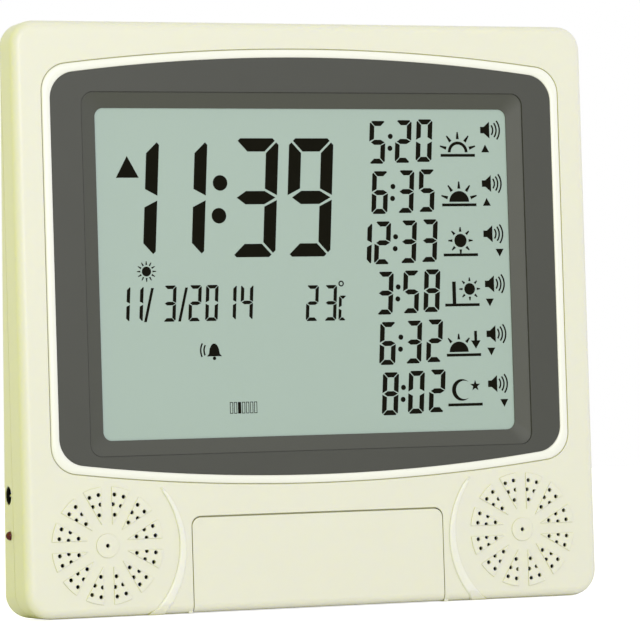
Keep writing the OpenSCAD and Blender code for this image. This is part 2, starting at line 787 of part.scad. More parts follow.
module main_board() color(board_green) {
    difference() {
        slab(board_depth, board_t) display_rect(board_w, board_h, 2);
        for (place = board_screw_places) rod(place, 0, big / 4, board_screw_r + 0.3);
    }
}

module processor_blob() color(black) {
    blob_r = 9;
    blob_h = 2;
    dome_r = (blob_r * blob_r + blob_h * blob_h) / (2 * blob_h);
    turned([chips_x + 30, window_z + 20]) intersection() {
        translate([0, board_depth + board_t + blob_h - dome_r]) circle(dome_r, $fn = 180);
        translate([0, board_depth + board_t]) square([blob_r + 1, blob_h + 1]);
    }
}

module board_capacitors() color("#31405e") {
    capacitor_pitch = 14;
    row_z = window_z - board_h / 2 + 43.05;
    for (i = [0 : 2])
        rod([chips_x - 18 + i * capacitor_pitch, row_z], board_depth + board_t, capacitor_h, capacitor_r);
}

module amplifier_chip() color(black) {
    slab(board_depth + board_t, 2.4) translate([chips_x, window_z - 10]) square([19, 7], center = true);
}

// Pan head screws: each has its head outwards and its shank towards the front.
module pan_screws(places, seat, shank, shank_r, head_r, head_t) {
    for (place = places) {
        rod(place, seat, head_t, head_r);
        rod(place, seat - shank, shank + eps, shank_r);
    }
}

module board_screws() color(steel) {
    pan_screws(board_screw_places, board_depth + board_t, board_t + 3.6,
        board_screw_r, small_head_r, small_head_t);
}

module key_board() color(board_green) {
    difference() {
        slab(key_board_depth, board_t) translate([0, key_z]) rounded(key_board_w, key_board_h, 1.5);
        for (place = key_screw_places) rod(place, 0, big / 4, board_screw_r + 0.3);
    }
}

function key_x(i) = (i - (key_count - 1) / 2) * key_pitch;

module key_switches() color(black) {
    for (i = [0 : key_count - 1]) difference() {
        slab(switch_depth, switch_t) translate([key_x(i), key_z]) square(switch_w, center = true);
        rod([key_x(i), key_z], switch_depth - 1, switch_bore + 1, plunger_r + pin_clearance);
    }
}

module key_board_screws() color(steel) {
    pan_screws(key_screw_places, key_board_depth + board_t, board_t + 4.2,
        board_screw_r, small_head_r, small_head_t);
}

// Flat cable from the key board up past the battery bay to the main board.
module key_ribbon() color("#c9c4b4") {
    t = 0.8;
    low = [key_board_depth + board_t, key_z + key_board_h / 2 - 1.3];
    high = [board_depth + board_t, window_z - board_h / 2 + 2];
    bend = 7;
    points = [
        [low[0], low[1]], [low[0] + t, low[1]], [low[0] + t, low[1] + bend], [high[0] + t, high[1]],
        [high[0] + t, high[1] + bend], [high[0], high[1] + bend], [high[0], high[1]],
        [low[0], low[1] + bend - 0.6]
    ];
    translate([bay_len / 2 + bay_wall + 0.4, front_y, 0]) rotate([90, 0, 90]) linear_extrude(3)
        polygon(points);
}

module key(i) color("#8d8f8c") {
    slab(panel_depth - key_proud, key_proud + panel_t + key_rest_gap + eps) key_outline(i, 0);
    slab(key_flange_depth, key_flange_t) key_outline(i, key_flange);
    rod([key_x(i), key_z], key_flange_depth, key_foot_end - key_flange_depth, 2);
}

module plunger(i) color("#3a3a3a") {
    rod([key_x(i), key_z], key_foot_end, plunger_len, plunger_r);
}

module key_flap() color(cream) {
    cheek_r = flap_roll_r - 0.4;
    slab(0, flap_t) intersection() {
        flap_outline(flap_w / 2, flap_top, flap_corner_r);
        translate([-flap_w, hinge_z]) square([2 * flap_w, case_h]);
    }
    translate([-flap_w / 2, front_y + hinge_depth, hinge_z]) rotate([90, 0, 90]) {
        rotate([0, 0, 180]) rotate_extrude(angle = 90, $fn = 96)
            translate([flap_roll_r - flap_t, 0]) square([flap_t, flap_w]);
        for (end = [0, flap_w - recess_wall])
            translate([0, 0, end]) cylinder(h = recess_wall, r = cheek_r);
        for (end = [-stud_len, flap_w - eps])
            translate([0, 0, end]) cylinder(h = stud_len + eps, r = stud_r);
    }
}

module speaker_gasket(side) color("#3b3b3b") turned([side * speaker_x, speaker_z])
    translate([surround_r, gasket_depth]) square([speaker_r - surround_r, gasket_t]);

module speaker_frame(side) color(steel) turned([side * speaker_x, speaker_z]) polygon([
    [surround_r, flange_depth], [speaker_r, flange_depth], [speaker_r, speaker_back],
    [speaker_r - 2, speaker_back], [magnet_r + 2, basket_depth], [9, basket_depth],
    [9, basket_depth - 0.8], [magnet_r + 1.4, basket_depth - 0.8], [surround_r, speaker_back]
]);

module speaker_cone(side) color("#2b2b2b") {
    roll = [surround_r - 1.9, speaker_back];
    turned([side * speaker_x, speaker_z]) {
        intersection() {
            difference() {
                translate(roll) circle(1.3);
                translate(roll) circle(0.9);
            }
            translate([roll[0] - 2, roll[1] - 2]) square([4, 2]);
        }
        translate([roll[0] + 0.9, roll[1] - 0.4]) square([1, 0.4]);
        polygon([
            [roll[0] - 1.3, roll[1] - 0.4], [roll[0] - 0.9, roll[1] - 0.4], [roll[0] - 0.9, roll[1] + 0.1],
            [7, basket_depth - 2], [7, basket_depth - 1], [6.4, basket_depth - 1], [6.4, basket_depth - 2.2]
        ]);
        polygon([
            [0, basket_depth - 4.6], [2.6, basket_depth - 4.3], [4.8, basket_depth - 3.4],
            [6.5, basket_depth - 2], [6.5, basket_depth - 1.5], [4.5, basket_depth - 3],
            [2.5, basket_depth - 3.8], [0, basket_depth - 4.1]
        ]);
    }
}

module speaker_magnet(side) color("#55565a") turned([side * speaker_x, speaker_z]) {
    translate([0, basket_depth]) square([magnet_r - 1, 1.6]);
    translate([0, basket_depth + 1.6]) square([magnet_r, 4.4]);
    translate([0, basket_depth + 6]) square([magnet_r - 1, 1.6]);
}

module speaker_washers() color(steel) for (place = speaker_screw_places) difference() {
    rod(place, speaker_back, washer_t, washer_r);
    rod(place, speaker_back - 1, washer_t + 2, board_screw_r + 0.2);
}

module speaker_screws() color(steel) pan_screws(
    speaker_screw_places, speaker_back + washer_t, washer_t + 2.6, board_screw_r, small_head_r, small_head_t
);

// Everything in front of the sloping rear face, less a skin of the given thickness.
module before_rear_face(skin) {
    on_back(0) translate([-big / 2, -big - skin, -big / 2]) cube(big);
}

module cover_shell() {
    sloped_h = case_h / cos(slope);
    plug = wall + lip_gap;
    difference() {
        union() {
            intersection() {
                slab(shell_depth, base_depth) case_outline(case_h, 0);
                on_back(0) mirror([0, 1, 0])
                    round_edged_block(sloped_h, rear_edge_r, base_depth, rear_edge_r);
            }
            intersection() {
                slab(shell_depth - lip_len, base_depth) case_outline(case_h, plug);
                before_rear_face(wall / 2);
            }
        }
        intersection() {
            slab(0, 2 * base_depth) case_outline(case_h, side_wall);
            before_rear_face(wall);
        }
    }
}

module keyhole_outline() {
    translate([0, keyhole_z - keyhole_reach]) circle(keyhole_r);
    translate([0, keyhole_z + keyhole_reach]) circle(keyhole_slot_r);
    translate([-keyhole_slot_r, keyhole_z - keyhole_reach]) square([2 * keyhole_slot_r, 2 * keyhole_reach]);
}

module keyhole_pocket(grow) {
    for (side = [-1, 1]) slab(keyhole_pocket_depth - grow, base_depth)
        translate([side * keyhole_pitch / 2, keyhole_z])
            square([keyhole_pocket_w + 2 * grow, keyhole_pocket_h + 2 * grow], center = true);
}

module back_cover() color(cream) {
    tall = base_depth;
    difference() {
        union() {
            cover_shell();
            on_back(bay_z) translate([0, bay_bottom_y - bay_floor, 0]) rotate([-90, 0, 0])
                linear_extrude(bay_deep + bay_floor + 0.5)
                    square([bay_len + 2 * bay_wall, bay_high + 2 * bay_wall], center = true);
            intersection() {
                for (place = case_screw_places) rod(place, boss_top + 0.1, tall, screw_post_r);
                before_rear_face(wall / 2);
                slab(0, 2 * base_depth) case_outline(case_h, wall + lip_gap);
            }
            intersection() {
                for (place = power_screw_places)
                    rod(place, power_board_front + board_t, tall, power_post_r);
                before_rear_face(wall / 2);
            }
            intersection() {
                keyhole_pocket(pocket_wall);
                before_rear_face(wall / 2);
            }
        }
        for (place = case_screw_places) {
            rod(place, 0, tall, screw_r + 0.2);
            rod(place, screw_seat, tall, screw_well_r);
        }
        for (place = power_screw_places)
            rod(place, power_board_front, 4.5 + board_t, board_screw_r + pilot_gap);
        on_back(bay_z) {
            translate([-bay_len / 2, bay_bottom_y, -bay_high / 2]) cube([bay_len, tall, bay_high]);
            translate([-bay_door_len / 2 - bay_door_gap, bay_seat_y, -bay_door_high / 2 - bay_door_gap])
                cube([bay_door_len + 2 * bay_door_gap, tall, bay_door_high + 2 * bay_door_gap]);
            translate([0, bay_hinge_y, bay_hinge_v]) rotate([0, 90, 0])
                cylinder(h = bay_door_len + 2 * bay_pin_len + 0.8, r = bay_pin_r + pin_clearance,
                    center = true);
            translate([0, 0, bay_door_high / 2 + 1]) rotate([90, 0, 0])
                cylinder(h = 1.6, r = 7, center = true);
        }
        intersection() {
            keyhole_pocket(0);
            before_rear_face(wall);
        }
        for (side = [-1, 1]) slab(keyhole_pocket_depth + 1, base_depth)
            translate([side * keyhole_pitch / 2, 0]) keyhole_outline();
        translate([-case_w / 2, front_y + jack_depth, jack_z]) rotate([0, 90, 0])
            cylinder(h = 4 * wall, r = jack_hole_r, center = true);
        translate([-case_w / 2 + wall, front_y + shell_depth - 0.2, jack_z - jack_body_h / 2 - 0.5])
            cube([jack_body_len + 1, jack_depth + jack_body_w / 2 + 0.35 - shell_depth, jack_body_h + 1]);
        translate([-case_w / 2, front_y + lamp_depth, lamp_z]) rotate([0, 90, 0])
            cylinder(h = 4 * wall, r = lamp_hole_r, center = true);
    }
}

module battery_door() color(cream) on_back(bay_z) {
    translate([-bay_door_len / 2, -bay_door_t, bay_hinge_v])
        cube([bay_door_len, bay_door_t, bay_door_high / 2 - bay_hinge_v]);
    translate([0, bay_hinge_y, bay_hinge_v]) rotate([0, 90, 0]) {
        cylinder(h = bay_door_len, r = bay_door_t / 2, center = true);
        cylinder(h = bay_door_len + 2 * bay_pin_len, r = bay_pin_r, center = true);
    }
}

// A tapered coil from the contact plate towards the cell, one unbroken wire with straight ends.
spring_steps = spring_turns * spring_rings;
spring_lead = 2 * spring_wire_r;
spring_pitch = (spring_len - 0.1 - 2 * spring_lead) / spring_turns;
function coil_spot(turn, x) = let (r = spring_base_r - (spring_base_r - spring_tip_r) * turn / spring_turns)
    [x, r * cos(360 * turn), r * sin(360 * turn)];
spring_way = [
    coil_spot(0, 0),
    for (i = [0 : spring_steps]) coil_spot(i / spring_rings, spring_lead + spring_pitch * i / spring_rings),
    coil_spot(spring_turns, spring_len - 0.1)
];
function unit(v) = v / norm(v);
function coil_ring(i) = let (
    last = len(spring_way) - 1,
    here = spring_way[i],
    along = unit(spring_way[min(i + 1, last)] - spring_way[max(i - 1, 0)]),
    across = unit(cross(along, [0, here[1], here[2]])),
    out = cross(across, along)
) [for (k = [0 : 5]) here + spring_wire_r * (cos(60 * k) * out + sin(60 * k) * across)];

module coil_spring() {
    count = len(spring_way);
    points = [for (i = [0 : count - 1]) each coil_ring(i)];
    sides = [for (i = [0 : count - 2]) for (k = [0 : 5]) let (a = i * 6 + k, b = i * 6 + (k + 1) % 6)
        each [[a, b + 6, b], [a, a + 6, b + 6]]];
    last = (count - 1) * 6;
    ends = [[for (k = [0 : 5]) k], [for (k = [5 : -1 : 0]) last + k]];
    polyhedron(points, concat(sides, ends));
}
spring_gap = min([for (i = [0 : spring_steps]) for (j = [i + spring_rings / 2 : spring_steps + 2])
    norm(spring_way[i] - spring_way[j])]) - 2 * spring_wire_r;
echo(least_gap_of_the_spring_to_itself = spring_gap);

cell_axis_y = bay_bottom_y + cell_d / 2 + 0.2;

module battery_spring() color(steel) on_back(bay_z)
    translate([-bay_len / 2 + contact_t, cell_axis_y, 0]) coil_spring();

module battery_contacts() color(steel) on_back(bay_z) {
    for (x = [-bay_len / 2, bay_len / 2 - contact_t])
        translate([x, cell_axis_y - contact_w / 2, -contact_w / 2]) cube([contact_t, contact_w, contact_w]);
    translate([bay_len / 2 - contact_t, cell_axis_y, 0]) rotate([0, -90, 0]) cylinder(h = 0.8, r = 2.5);
}

module power_jack() color(black) translate([-case_w / 2 + wall + 0.1, front_y + jack_depth, jack_z])
    difference() {
        translate([0, -jack_body_w / 2, -jack_body_h / 2]) cube([jack_body_len, jack_body_w, jack_body_h]);
        rotate([0, 90, 0]) translate([0, 0, -1]) cylinder(h = jack_bore_len + 1, r = jack_bore_r);
    }

module jack_pin() color(steel) translate([-case_w / 2 + wall + 0.1, front_y + jack_depth, jack_z])
    rotate([0, 90, 0]) translate([0, 0, 1]) {
        cylinder(h = jack_bore_len - 1, r = jack_pin_r);
        sphere(jack_pin_r);
    }

module power_board() color(board_green) difference() {
    translate([power_board_x, front_y + power_board_front, power_board_z])
        cube([power_board_w, board_t, power_board_h]);
    for (place = power_screw_places) rod(place, 0, big / 4, board_screw_r + 0.3);
}

module power_board_screws() color(steel) for (place = power_screw_places) {
    rod(place, power_board_front - small_head_t, small_head_t, small_head_r);
    rod(place, power_board_front - eps, board_t + 4, board_screw_r);
}

module indicator_lamp() color("#8a1f1c") translate([-case_w / 2, front_y + lamp_depth, lamp_z]) {
    flange_x = side_wall + 0.05;
    rotate([0, 90, 0]) cylinder(h = flange_x + 2, r = lamp_r);
    translate([flange_x, 0, 0]) rotate([0, 90, 0]) cylinder(h = 1, r = lamp_r + 0.5);
    intersection() {
        sphere(lamp_r);
        translate([-2 * lamp_r, -lamp_r, -lamp_r]) cube(2 * lamp_r);
    }
    lead = 0.5;
    reach = lamp_depth - power_board_front - board_t;
    for (up = [-1.27, 1.27]) {
        translate([flange_x + 1.9, -lead / 2, up - lead / 2]) cube([4, lead, lead]);
        translate([flange_x + 5.9 - lead, -reach, up - lead / 2]) cube([lead, reach, lead]);
    }
}

module case_screws() color(steel) pan_screws(
    case_screw_places, screw_seat, screw_seat - boss_top + 8, screw_r, screw_head_r, screw_head_t
);

front_case();
trim_ring();
display_bezel();
lcd_film();
lcd_segments();
lcd_front_glass();
lcd_rear_glass();
lcd_reflector();
contact_strips();
main_board();
processor_blob();
board_capacitors();
amplifier_chip();
board_screws();
key_board();
key_switches();
key_board_screws();
key_ribbon();
key(0);  // key_1
key(1);  // key_2
key(2);  // key_3
key(3);  // key_4
key(4);  // key_5
key(5);  // key_6
plunger(0);  // plunger_1
plunger(1);  // plunger_2
plunger(2);  // plunger_3
plunger(3);  // plunger_4
plunger(4);  // plunger_5
plunger(5);  // plunger_6
key_flap();
speaker_gasket(-1);  // left_speaker_gasket
speaker_gasket(1);  // right_speaker_gasket
speaker_frame(-1);  // left_speaker_frame
speaker_frame(1);  // right_speaker_frame
speaker_cone(-1);  // left_speaker_cone
speaker_cone(1);  // right_speaker_cone
speaker_magnet(-1);  // left_speaker_magnet
speaker_magnet(1);  // right_speaker_magnet
speaker_washers();
speaker_screws();
back_cover();
battery_door();
battery_spring();
battery_contacts();
power_jack();
jack_pin();
power_board();
power_board_screws();
indicator_lamp();
case_screws();
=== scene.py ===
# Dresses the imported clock: plastics, display graphics, boards, lights and the camera.
# The scene is in metres in the CAD frame: X right, Y to the back, Z up, base on Z = 0.
# The dictionaries hold millimetres and degrees, unless a note beside them says otherwise.
import math

import bpy
import numpy as np
from mathutils import Matrix


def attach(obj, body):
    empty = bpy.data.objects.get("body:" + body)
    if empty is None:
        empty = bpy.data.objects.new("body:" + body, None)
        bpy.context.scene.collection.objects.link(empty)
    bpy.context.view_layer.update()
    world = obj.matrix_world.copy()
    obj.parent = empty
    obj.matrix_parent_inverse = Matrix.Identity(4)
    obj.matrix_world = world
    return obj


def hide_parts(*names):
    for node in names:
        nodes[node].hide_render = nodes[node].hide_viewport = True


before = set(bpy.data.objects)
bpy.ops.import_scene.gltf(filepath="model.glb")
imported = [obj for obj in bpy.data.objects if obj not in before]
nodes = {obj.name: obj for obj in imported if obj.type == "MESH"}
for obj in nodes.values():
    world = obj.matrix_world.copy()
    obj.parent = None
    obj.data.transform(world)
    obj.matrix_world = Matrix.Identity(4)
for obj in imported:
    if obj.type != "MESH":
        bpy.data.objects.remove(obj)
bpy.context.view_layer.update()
print("frame loaded:", len(nodes), "nodes")

mm = 0.001
faceY = -15.5 * mm  # flat front face of the case
mixShare, mixFirst, mixSecond, mixResult = 0, 6, 7, 2  # sockets of a colour mix


def hexColour(code):
    # sRGB hex to linear: below 0.04045 it is a straight line, above it a 2.4 power curve
    parts = np.array([int(code[i:i + 2], 16) for i in (1, 3, 5)]) / 255
    line = np.where(parts <= 0.04045, parts / 12.92, ((parts + 0.055) / 1.055) ** 2.4)
    return (float(line[0]), float(line[1]), float(line[2]), 1.0)


def addNode(tree, kind, sets=None, ins=None):
    # adds a node, sets its properties, then fills or links its inputs
    node = tree.nodes.new(kind)
    for key, value in (sets or {}).items():
        setattr(node, key, value)
    for key, value in (ins or {}).items():
        if isinstance(value, bpy.types.NodeSocket):
            tree.links.new(value, node.inputs[key])
        else:
            node.inputs[key].default_value = value
    return node


def startMaterial(name, fixed):
    # one Principled shader; fixed holds the values that are the same all over the surface
    material = bpy.data.materials.new(name)
    material.use_nodes = True
    tree = material.node_tree
    tree.nodes.clear()
    shader = addNode(tree, "ShaderNodeBsdfPrincipled", ins=fixed)
    addNode(tree, "ShaderNodeOutputMaterial", ins={"Surface": shader.outputs["BSDF"]})
    where = addNode(tree, "ShaderNodeTexCoord").outputs["Object"]
    return material, tree, shader, where


def mottle(tree, where, size, low, high, detail=2.0, calm=0.3):
    # a value that wanders between low and high in blotches size millimetres wide; calm is the
    # part of the noise at either end that stays flat
    fog = addNode(tree, "ShaderNodeTexNoise", ins={
        "Vector": where, "Scale": 1000 / size, "Detail": detail})
    return addNode(tree, "ShaderNodeMapRange", ins={
        "Value": fog.outputs["Fac"], "From Min": calm, "From Max": 1 - calm,
        "To Min": low, "To Max": high}).outputs["Result"]


def cloudyTone(tree, where, size, first, second, detail=2.0):
    # blotches that go from the first sRGB tone to the second
    return addNode(tree, "ShaderNodeMix", {"data_type": "RGBA"}, {
        mixShare: mottle(tree, where, size, 0, 1, detail), mixFirst: hexColour(first),
        mixSecond: hexColour(second)}).outputs[mixResult]


def evenFinish(name, look, fixed):
    # a smooth surface: two close tones in blotches, and a gloss that wanders a little from patch
    # to patch, glossSize wide
    material, tree, shader, where = startMaterial(name, fixed)
    colour = cloudyTone(tree, where, look["cloudSize"], look["colour"], look["deep"],
                        look.get("cloudDetail", 2))
    tree.links.new(colour, shader.inputs["Base Color"])
    tree.links.new(mottle(tree, where, look["glossSize"], *look["rough"]),
                   shader.inputs["Roughness"])
    return material, tree, shader


def dress(material, *names):
    # every slot of these CAD nodes gets the material
    for name in names:
        piece = nodes[name]
        if not piece.material_slots:
            piece.data.materials.append(None)
        for place in piece.material_slots:
            place.material = material


def addPiece(name, mesh):
    # a new object in the scene, at the origin
    piece = bpy.data.objects.new(name, mesh)
    bpy.context.scene.collection.objects.link(piece)
    return piece


def ridesOn(piece, body, material):
    # the piece gets its material and moves with the body
    piece.data.materials.append(material)
    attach(piece, body)
    return piece


# what all moulded plastics share; an openness of shadeFull or less has the whole painted gap
# shade, and from shadeNone on there is none of it
plasticLook = {"ior": 1.53, "scatter": (1.0, 0.95, 0.45), "cloudDetail": 3, "glossSize": 9,
               "shadeFull": 0.15, "shadeNone": 0.75, "feelers": 6}


def mouldedPlastic(name, look):
    # injection moulded: even colour with a faint cloud, a fine orange peel and softly broken
    # edges; a pale plastic lets light in, and its narrow gaps get a deeper tone of its colour
    # painted in as shade
    shared = plasticLook
    material, tree, shader, where = startMaterial(name, {
        "IOR": shared["ior"], "Specular IOR Level": look.get("gloss", 0.5),
        "Subsurface Weight": look.get("glow", 0.0),
        "Subsurface Scale": look.get("glowReach", 1.0) * mm,
        "Subsurface Radius": shared["scatter"]})
    colour = cloudyTone(tree, where, look["cloudSize"], look["colour"], look["deep"],
                        shared["cloudDetail"])
    # painted shade: a deeper tone is mixed in where the surroundings close in round a point
    if "paintedGapShade" in look:
        shut = addNode(tree, "ShaderNodeAmbientOcclusion", {"samples": shared["feelers"]},
                       {"Distance": look["shadeReach"] * mm})
        share = addNode(tree, "ShaderNodeMapRange", ins={
            "Value": shut.outputs["AO"], "From Min": shared["shadeFull"],
            "From Max": shared["shadeNone"], "To Min": 1.0, "To Max": 0.0})
        colour = addNode(tree, "ShaderNodeMix", {"data_type": "RGBA"}, {
            mixShare: share.outputs["Result"], mixFirst: colour,
            mixSecond: hexColour(look["paintedGapShade"])}).outputs[mixResult]
    peel = mottle(tree, where, look["grainSize"], 0, 1, look.get("grainDetail", 2), 0)
    bump = addNode(tree, "ShaderNodeBump", ins={
        "Height": peel, "Distance": look["grainHeight"] * mm})
    if look.get("edge"):
        soft = addNode(tree, "ShaderNodeBevel", {"samples": shared["feelers"]},
                       {"Radius": look["edge"] * mm})
        tree.links.new(soft.outputs["Normal"], bump.inputs["Normal"])
    rough = mottle(tree, where, shared["glossSize"], *look["rough"], 1, 0)
    tree.links.new(colour, shader.inputs["Base Color"])
    tree.links.new(rough, shader.inputs["Roughness"])
    tree.links.new(bump.outputs["Normal"], shader.inputs["Normal"])
    return material


# glossy cream ABS from a polished tool, with a deeper warm tone painted into its gaps as shade
caseLook = {"colour": "#EFEEE4", "deep": "#EEEDE2", "cloudSize": 80, "grainSize": 2.2,
            "grainHeight": 0.003, "rough": (0.28, 0.31), "edge": 0.4, "paintedGapShade": "#D2D07A",
            "shadeReach": 1.2, "glow": 0.5, "glowReach": 0.9}
# bright white ABS, the glossiest moulding
trimLook = {"colour": "#FCFCFA", "deep": "#FAFAF8", "cloudSize": 40, "grainSize": 2.0,
            "grainHeight": 0.002, "rough": (0.2, 0.22)}
# charcoal ABS from a spark eroded tool: dull and finely grained; slopeFrom and slopeTo are the
# depths behind the case's face between which its slopes take their painted lighter tone
bezelLook = {"colour": "#424340", "deep": "#40413E", "cloudSize": 40, "grainSize": 0.35,
             "grainHeight": 0.008, "grainDetail": 3, "rough": (0.46, 0.5), "edge": 0.2,
             "slope": "#4A4B47", "slopeFrom": 0.3, "slopeTo": 0.6}
# satin grey key caps
keyLook = {"colour": "#8C8E8B", "deep": "#868885", "cloudSize": 12, "grainSize": 0.4,
           "grainHeight": 0.006, "rough": (0.45, 0.55), "edge": 0.4}
# matt black socket moulding that hardly shines
jackLook = {"colour": "#101010", "deep": "#141413", "cloudSize": 8, "grainSize": 0.4,
            "grainHeight": 0.006, "rough": (0.5, 0.6), "gloss": 0.08}
# black nylon and chip resin with a low sheen
blackLook = {"colour": "#1D1D1D", "deep": "#242423", "cloudSize": 8, "grainSize": 0.4,
             "grainHeight": 0.006, "rough": (0.45, 0.6), "edge": 0.15}
# shrunk blue sleeve, tight and shiny
sleeveLook = {"colour": "#2B3854", "deep": "#26324B", "cloudSize": 8, "grainSize": 1.0,
              "grainHeight": 0.002, "rough": (0.25, 0.35), "edge": 0.4}
# closed cell foam, dull and pitted
foamLook = {"colour": "#3A3A3A", "deep": "#2F2F2F", "cloudSize": 4, "grainSize": 0.5,
            "grainHeight": 0.02, "rough": (0.8, 0.9)}
# layered contact rubber in pink and near black
stripLook = {"colour": "#D8788C", "deep": "#3A3036", "cloudSize": 0.6, "grainSize": 0.3,
             "grainHeight": 0.005, "rough": (0.6, 0.7)}
# flat cable in pale grey PVC
ribbonLook = {"colour": "#C9C4B4", "deep": "#BDB7A6", "cloudSize": 3, "grainSize": 0.8,
              "grainHeight": 0.004, "rough": (0.4, 0.5)}


def paintLightOnSlopes(material):
    # the slopes round the window are painted a shade lighter than the flat frame, painted light
    # that offsets the shade of the recess: the tone changes with the depth behind the case's face
    look, tree = bezelLook, material.node_tree
    where = addNode(tree, "ShaderNodeTexCoord").outputs["Object"]
    depth = addNode(tree, "ShaderNodeSeparateXYZ", ins={"Vector": where}).outputs["Y"]
    sunk = addNode(tree, "ShaderNodeMapRange", ins={
        "Value": depth, "From Min": faceY + look["slopeFrom"] * mm,
        "From Max": faceY + look["slopeTo"] * mm, "To Min": 0.0, "To Max": 1.0})
    shader = next(node for node in tree.nodes if node.type == "BSDF_PRINCIPLED")
    skin = shader.inputs["Base Color"]
    tone = addNode(tree, "ShaderNodeMix", {"data_type": "RGBA"}, {
        mixShare: sunk.outputs["Result"], mixFirst: skin.links[0].from_socket,
        mixSecond: hexColour(look["slope"])})
    tree.links.new(tone.outputs[mixResult], skin)


caseAbs = mouldedPlastic("moulded cream ABS", caseLook)
whiteAbs = mouldedPlastic("moulded white ABS", trimLook)
bezelAbs = mouldedPlastic("spark textured charcoal ABS", bezelLook)
jackPlastic = mouldedPlastic("matt black jack moulding", jackLook)
# the bezel's slopes get painted light, a lighter tone by depth
paintLightOnSlopes(bezelAbs)
dress(caseAbs, "front_case", "back_cover", "battery_door", "key_flap")
dress(whiteAbs, "trim_ring")
dress(bezelAbs, "display_bezel")
dress(jackPlastic, "power_jack")
dress(mouldedPlastic("grey key ABS", keyLook), *["key_%d" % i for i in range(1, 7)])
dress(mouldedPlastic("black moulded nylon", blackLook), "processor_blob", "amplifier_chip",
      "key_switches", *["plunger_%d" % i for i in range(1, 7)])
dress(mouldedPlastic("shrunk capacitor sleeve", sleeveLook), "board_capacitors")
dress(mouldedPlastic("foam rubber", foamLook), "left_speaker_gasket", "right_speaker_gasket")
dress(mouldedPlastic("conductive strip rubber", stripLook), "contact_strips")
dress(mouldedPlastic("flat cable PVC", ribbonLook), "key_ribbon")
print("plastics ready")

# satin polariser over the cell: grey green, with a very fine sparkle of the reflector behind
filmLook = {"colour": "#ABBEBB", "deep": "#AABDB9", "cloudSize": 0.25, "cloudDetail": 1,
            "glossSize": 20, "rough": (0.42, 0.48)}
# driven liquid crystal: near black, a little uneven, as dull as the film over it
inkLook = {"colour": "#16150F", "deep": "#181711", "cloudSize": 5, "glossSize": 6,
           "rough": (0.5, 0.6)}
# ground-edge soda glass with a trace of green
glassLook = {"colour": "#C9D3CB", "deep": "#C3CEC6", "cloudSize": 40, "cloudDetail": 1,
             "glossSize": 15, "rough": (0.05, 0.12)}
# brushed silver foil on a plastic sheet
foilLook = {"colour": "#D5D8D2", "deep": "#CBCFC9", "cloudSize": 5, "grainSize": 0.5,
            "grainHeight": 0.003, "rough": (0.35, 0.45)}

film = evenFinish("satin polariser film", filmLook, {"IOR": 1.49})[0]
ink = evenFinish("driven display segments", inkLook, {
    "IOR": 1.45, "Specular IOR Level": 0.02})[0]
glass = evenFinish("display cell glass", glassLook, {"IOR": 1.52, "Transmission Weight": 0.6})[0]
dress(film, "lcd_film")
dress(ink, "lcd_segments")
dress(glass, "lcd_front_glass", "lcd_rear_glass")
dress(mouldedPlastic("silver reflector foil", foilLook), "lcd_reflector")


def archedOutline(width, height, arcR, cornerR, middleZ, count=24):
    # four corner arcs and two shallow arches, each at equal angles; the sides are straight
    # between corners, and an arch has three times the points of a corner
    cx, rise = width / 2 - cornerR, arcR - height / 2
    cz = math.sqrt((arcR - cornerR) ** 2 - cx ** 2) - rise
    lean = math.degrees(math.asin(cx / (arcR - cornerR)))
    spans = [(cx, cz, cornerR, 0, 90 - lean, count),
             (0, -rise, arcR, 90 - lean, 90 + lean, 3 * count),
             (-cx, cz, cornerR, 90 + lean, 180, count),
             (-cx, -cz, cornerR, 180, 270 - lean, count),
             (0, rise, arcR, 270 - lean, 270 + lean, 3 * count),
             (cx, -cz, cornerR, 270 + lean, 360, count)]
    points = []
    for x, z, r, start, end, steps in spans:
        turn = np.radians(np.linspace(start, end, steps + 1)[:-1])
        points.append(np.stack([x + r * np.cos(turn), z + r * np.sin(turn)], 1))
        if end in (180, 360):  # the straight side starts here
            points.append(np.array([[x + r * math.cos(math.radians(end)), z]]))
    return np.vstack(points) + [0, middleZ]


def loopSurface(name, grid, endless=True):
    # grid has one closed section per row; the last row joins the first, or else both ends get
    # a flat cap
    rows, columns = grid.shape[:2]
    row, column = np.meshgrid(np.arange(rows if endless else rows - 1), np.arange(columns),
                              indexing="ij")
    nextRow, nextColumn = (row + 1) % rows, (column + 1) % columns
    faces = np.stack([row * columns + column, row * columns + nextColumn,
                      nextRow * columns + nextColumn, nextRow * columns + column], 2)
    first, last = list(range(columns)), list(range((rows - 1) * columns, rows * columns))
    caps = [] if endless else [first[::-1], last]
    mesh = bpy.data.meshes.new(name)
    mesh.from_pydata(grid.reshape(-1, 3).tolist(), [], faces.reshape(-1, 4).tolist() + caps)
    mesh.update()
    mesh.shade_smooth()
    return addPiece(name, mesh)


# outer and inner are the width, height, arch radius and corner radius of the ring's outlines
ringLook = {"outer": (253.2, 196.4, 933, 12.5), "inner": (245.6, 189.1, 888.1, 12.3),
            "middleZ": 154.7, "crown": 0.42, "shoulder": 0.12, "power": 0.6, "foot": 1.3,
            "steps": 18}


def crownedRing():
    # a section is carried round the arched outline, its width taken from the two outlines point
    # by point; its crown is half a sine wave raised to a power, over two walls down to the foot
    look = ringLook
    outer = archedOutline(*look["outer"], look["middleZ"])[:, None]
    inner = archedOutline(*look["inner"], look["middleZ"])[:, None]
    across = np.linspace(0, 1, look["steps"])
    crown = (look["crown"] + look["shoulder"]) * np.sin(np.pi * across) ** look["power"]
    depth = np.concatenate([[look["foot"]], look["shoulder"] - crown, [look["foot"]]])
    share = np.concatenate([[0], across, [1]])
    flat = outer + (inner - outer) * share[None, :, None]
    y = np.broadcast_to(faceY + depth * mm, flat.shape[:2])
    return loopSurface("crowned_ring", np.stack([flat[..., 0] * mm, y, flat[..., 1] * mm], 2))


ring = crownedRing()
ring.data.materials.append(whiteAbs)
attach(ring, "case")
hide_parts("trim_ring")

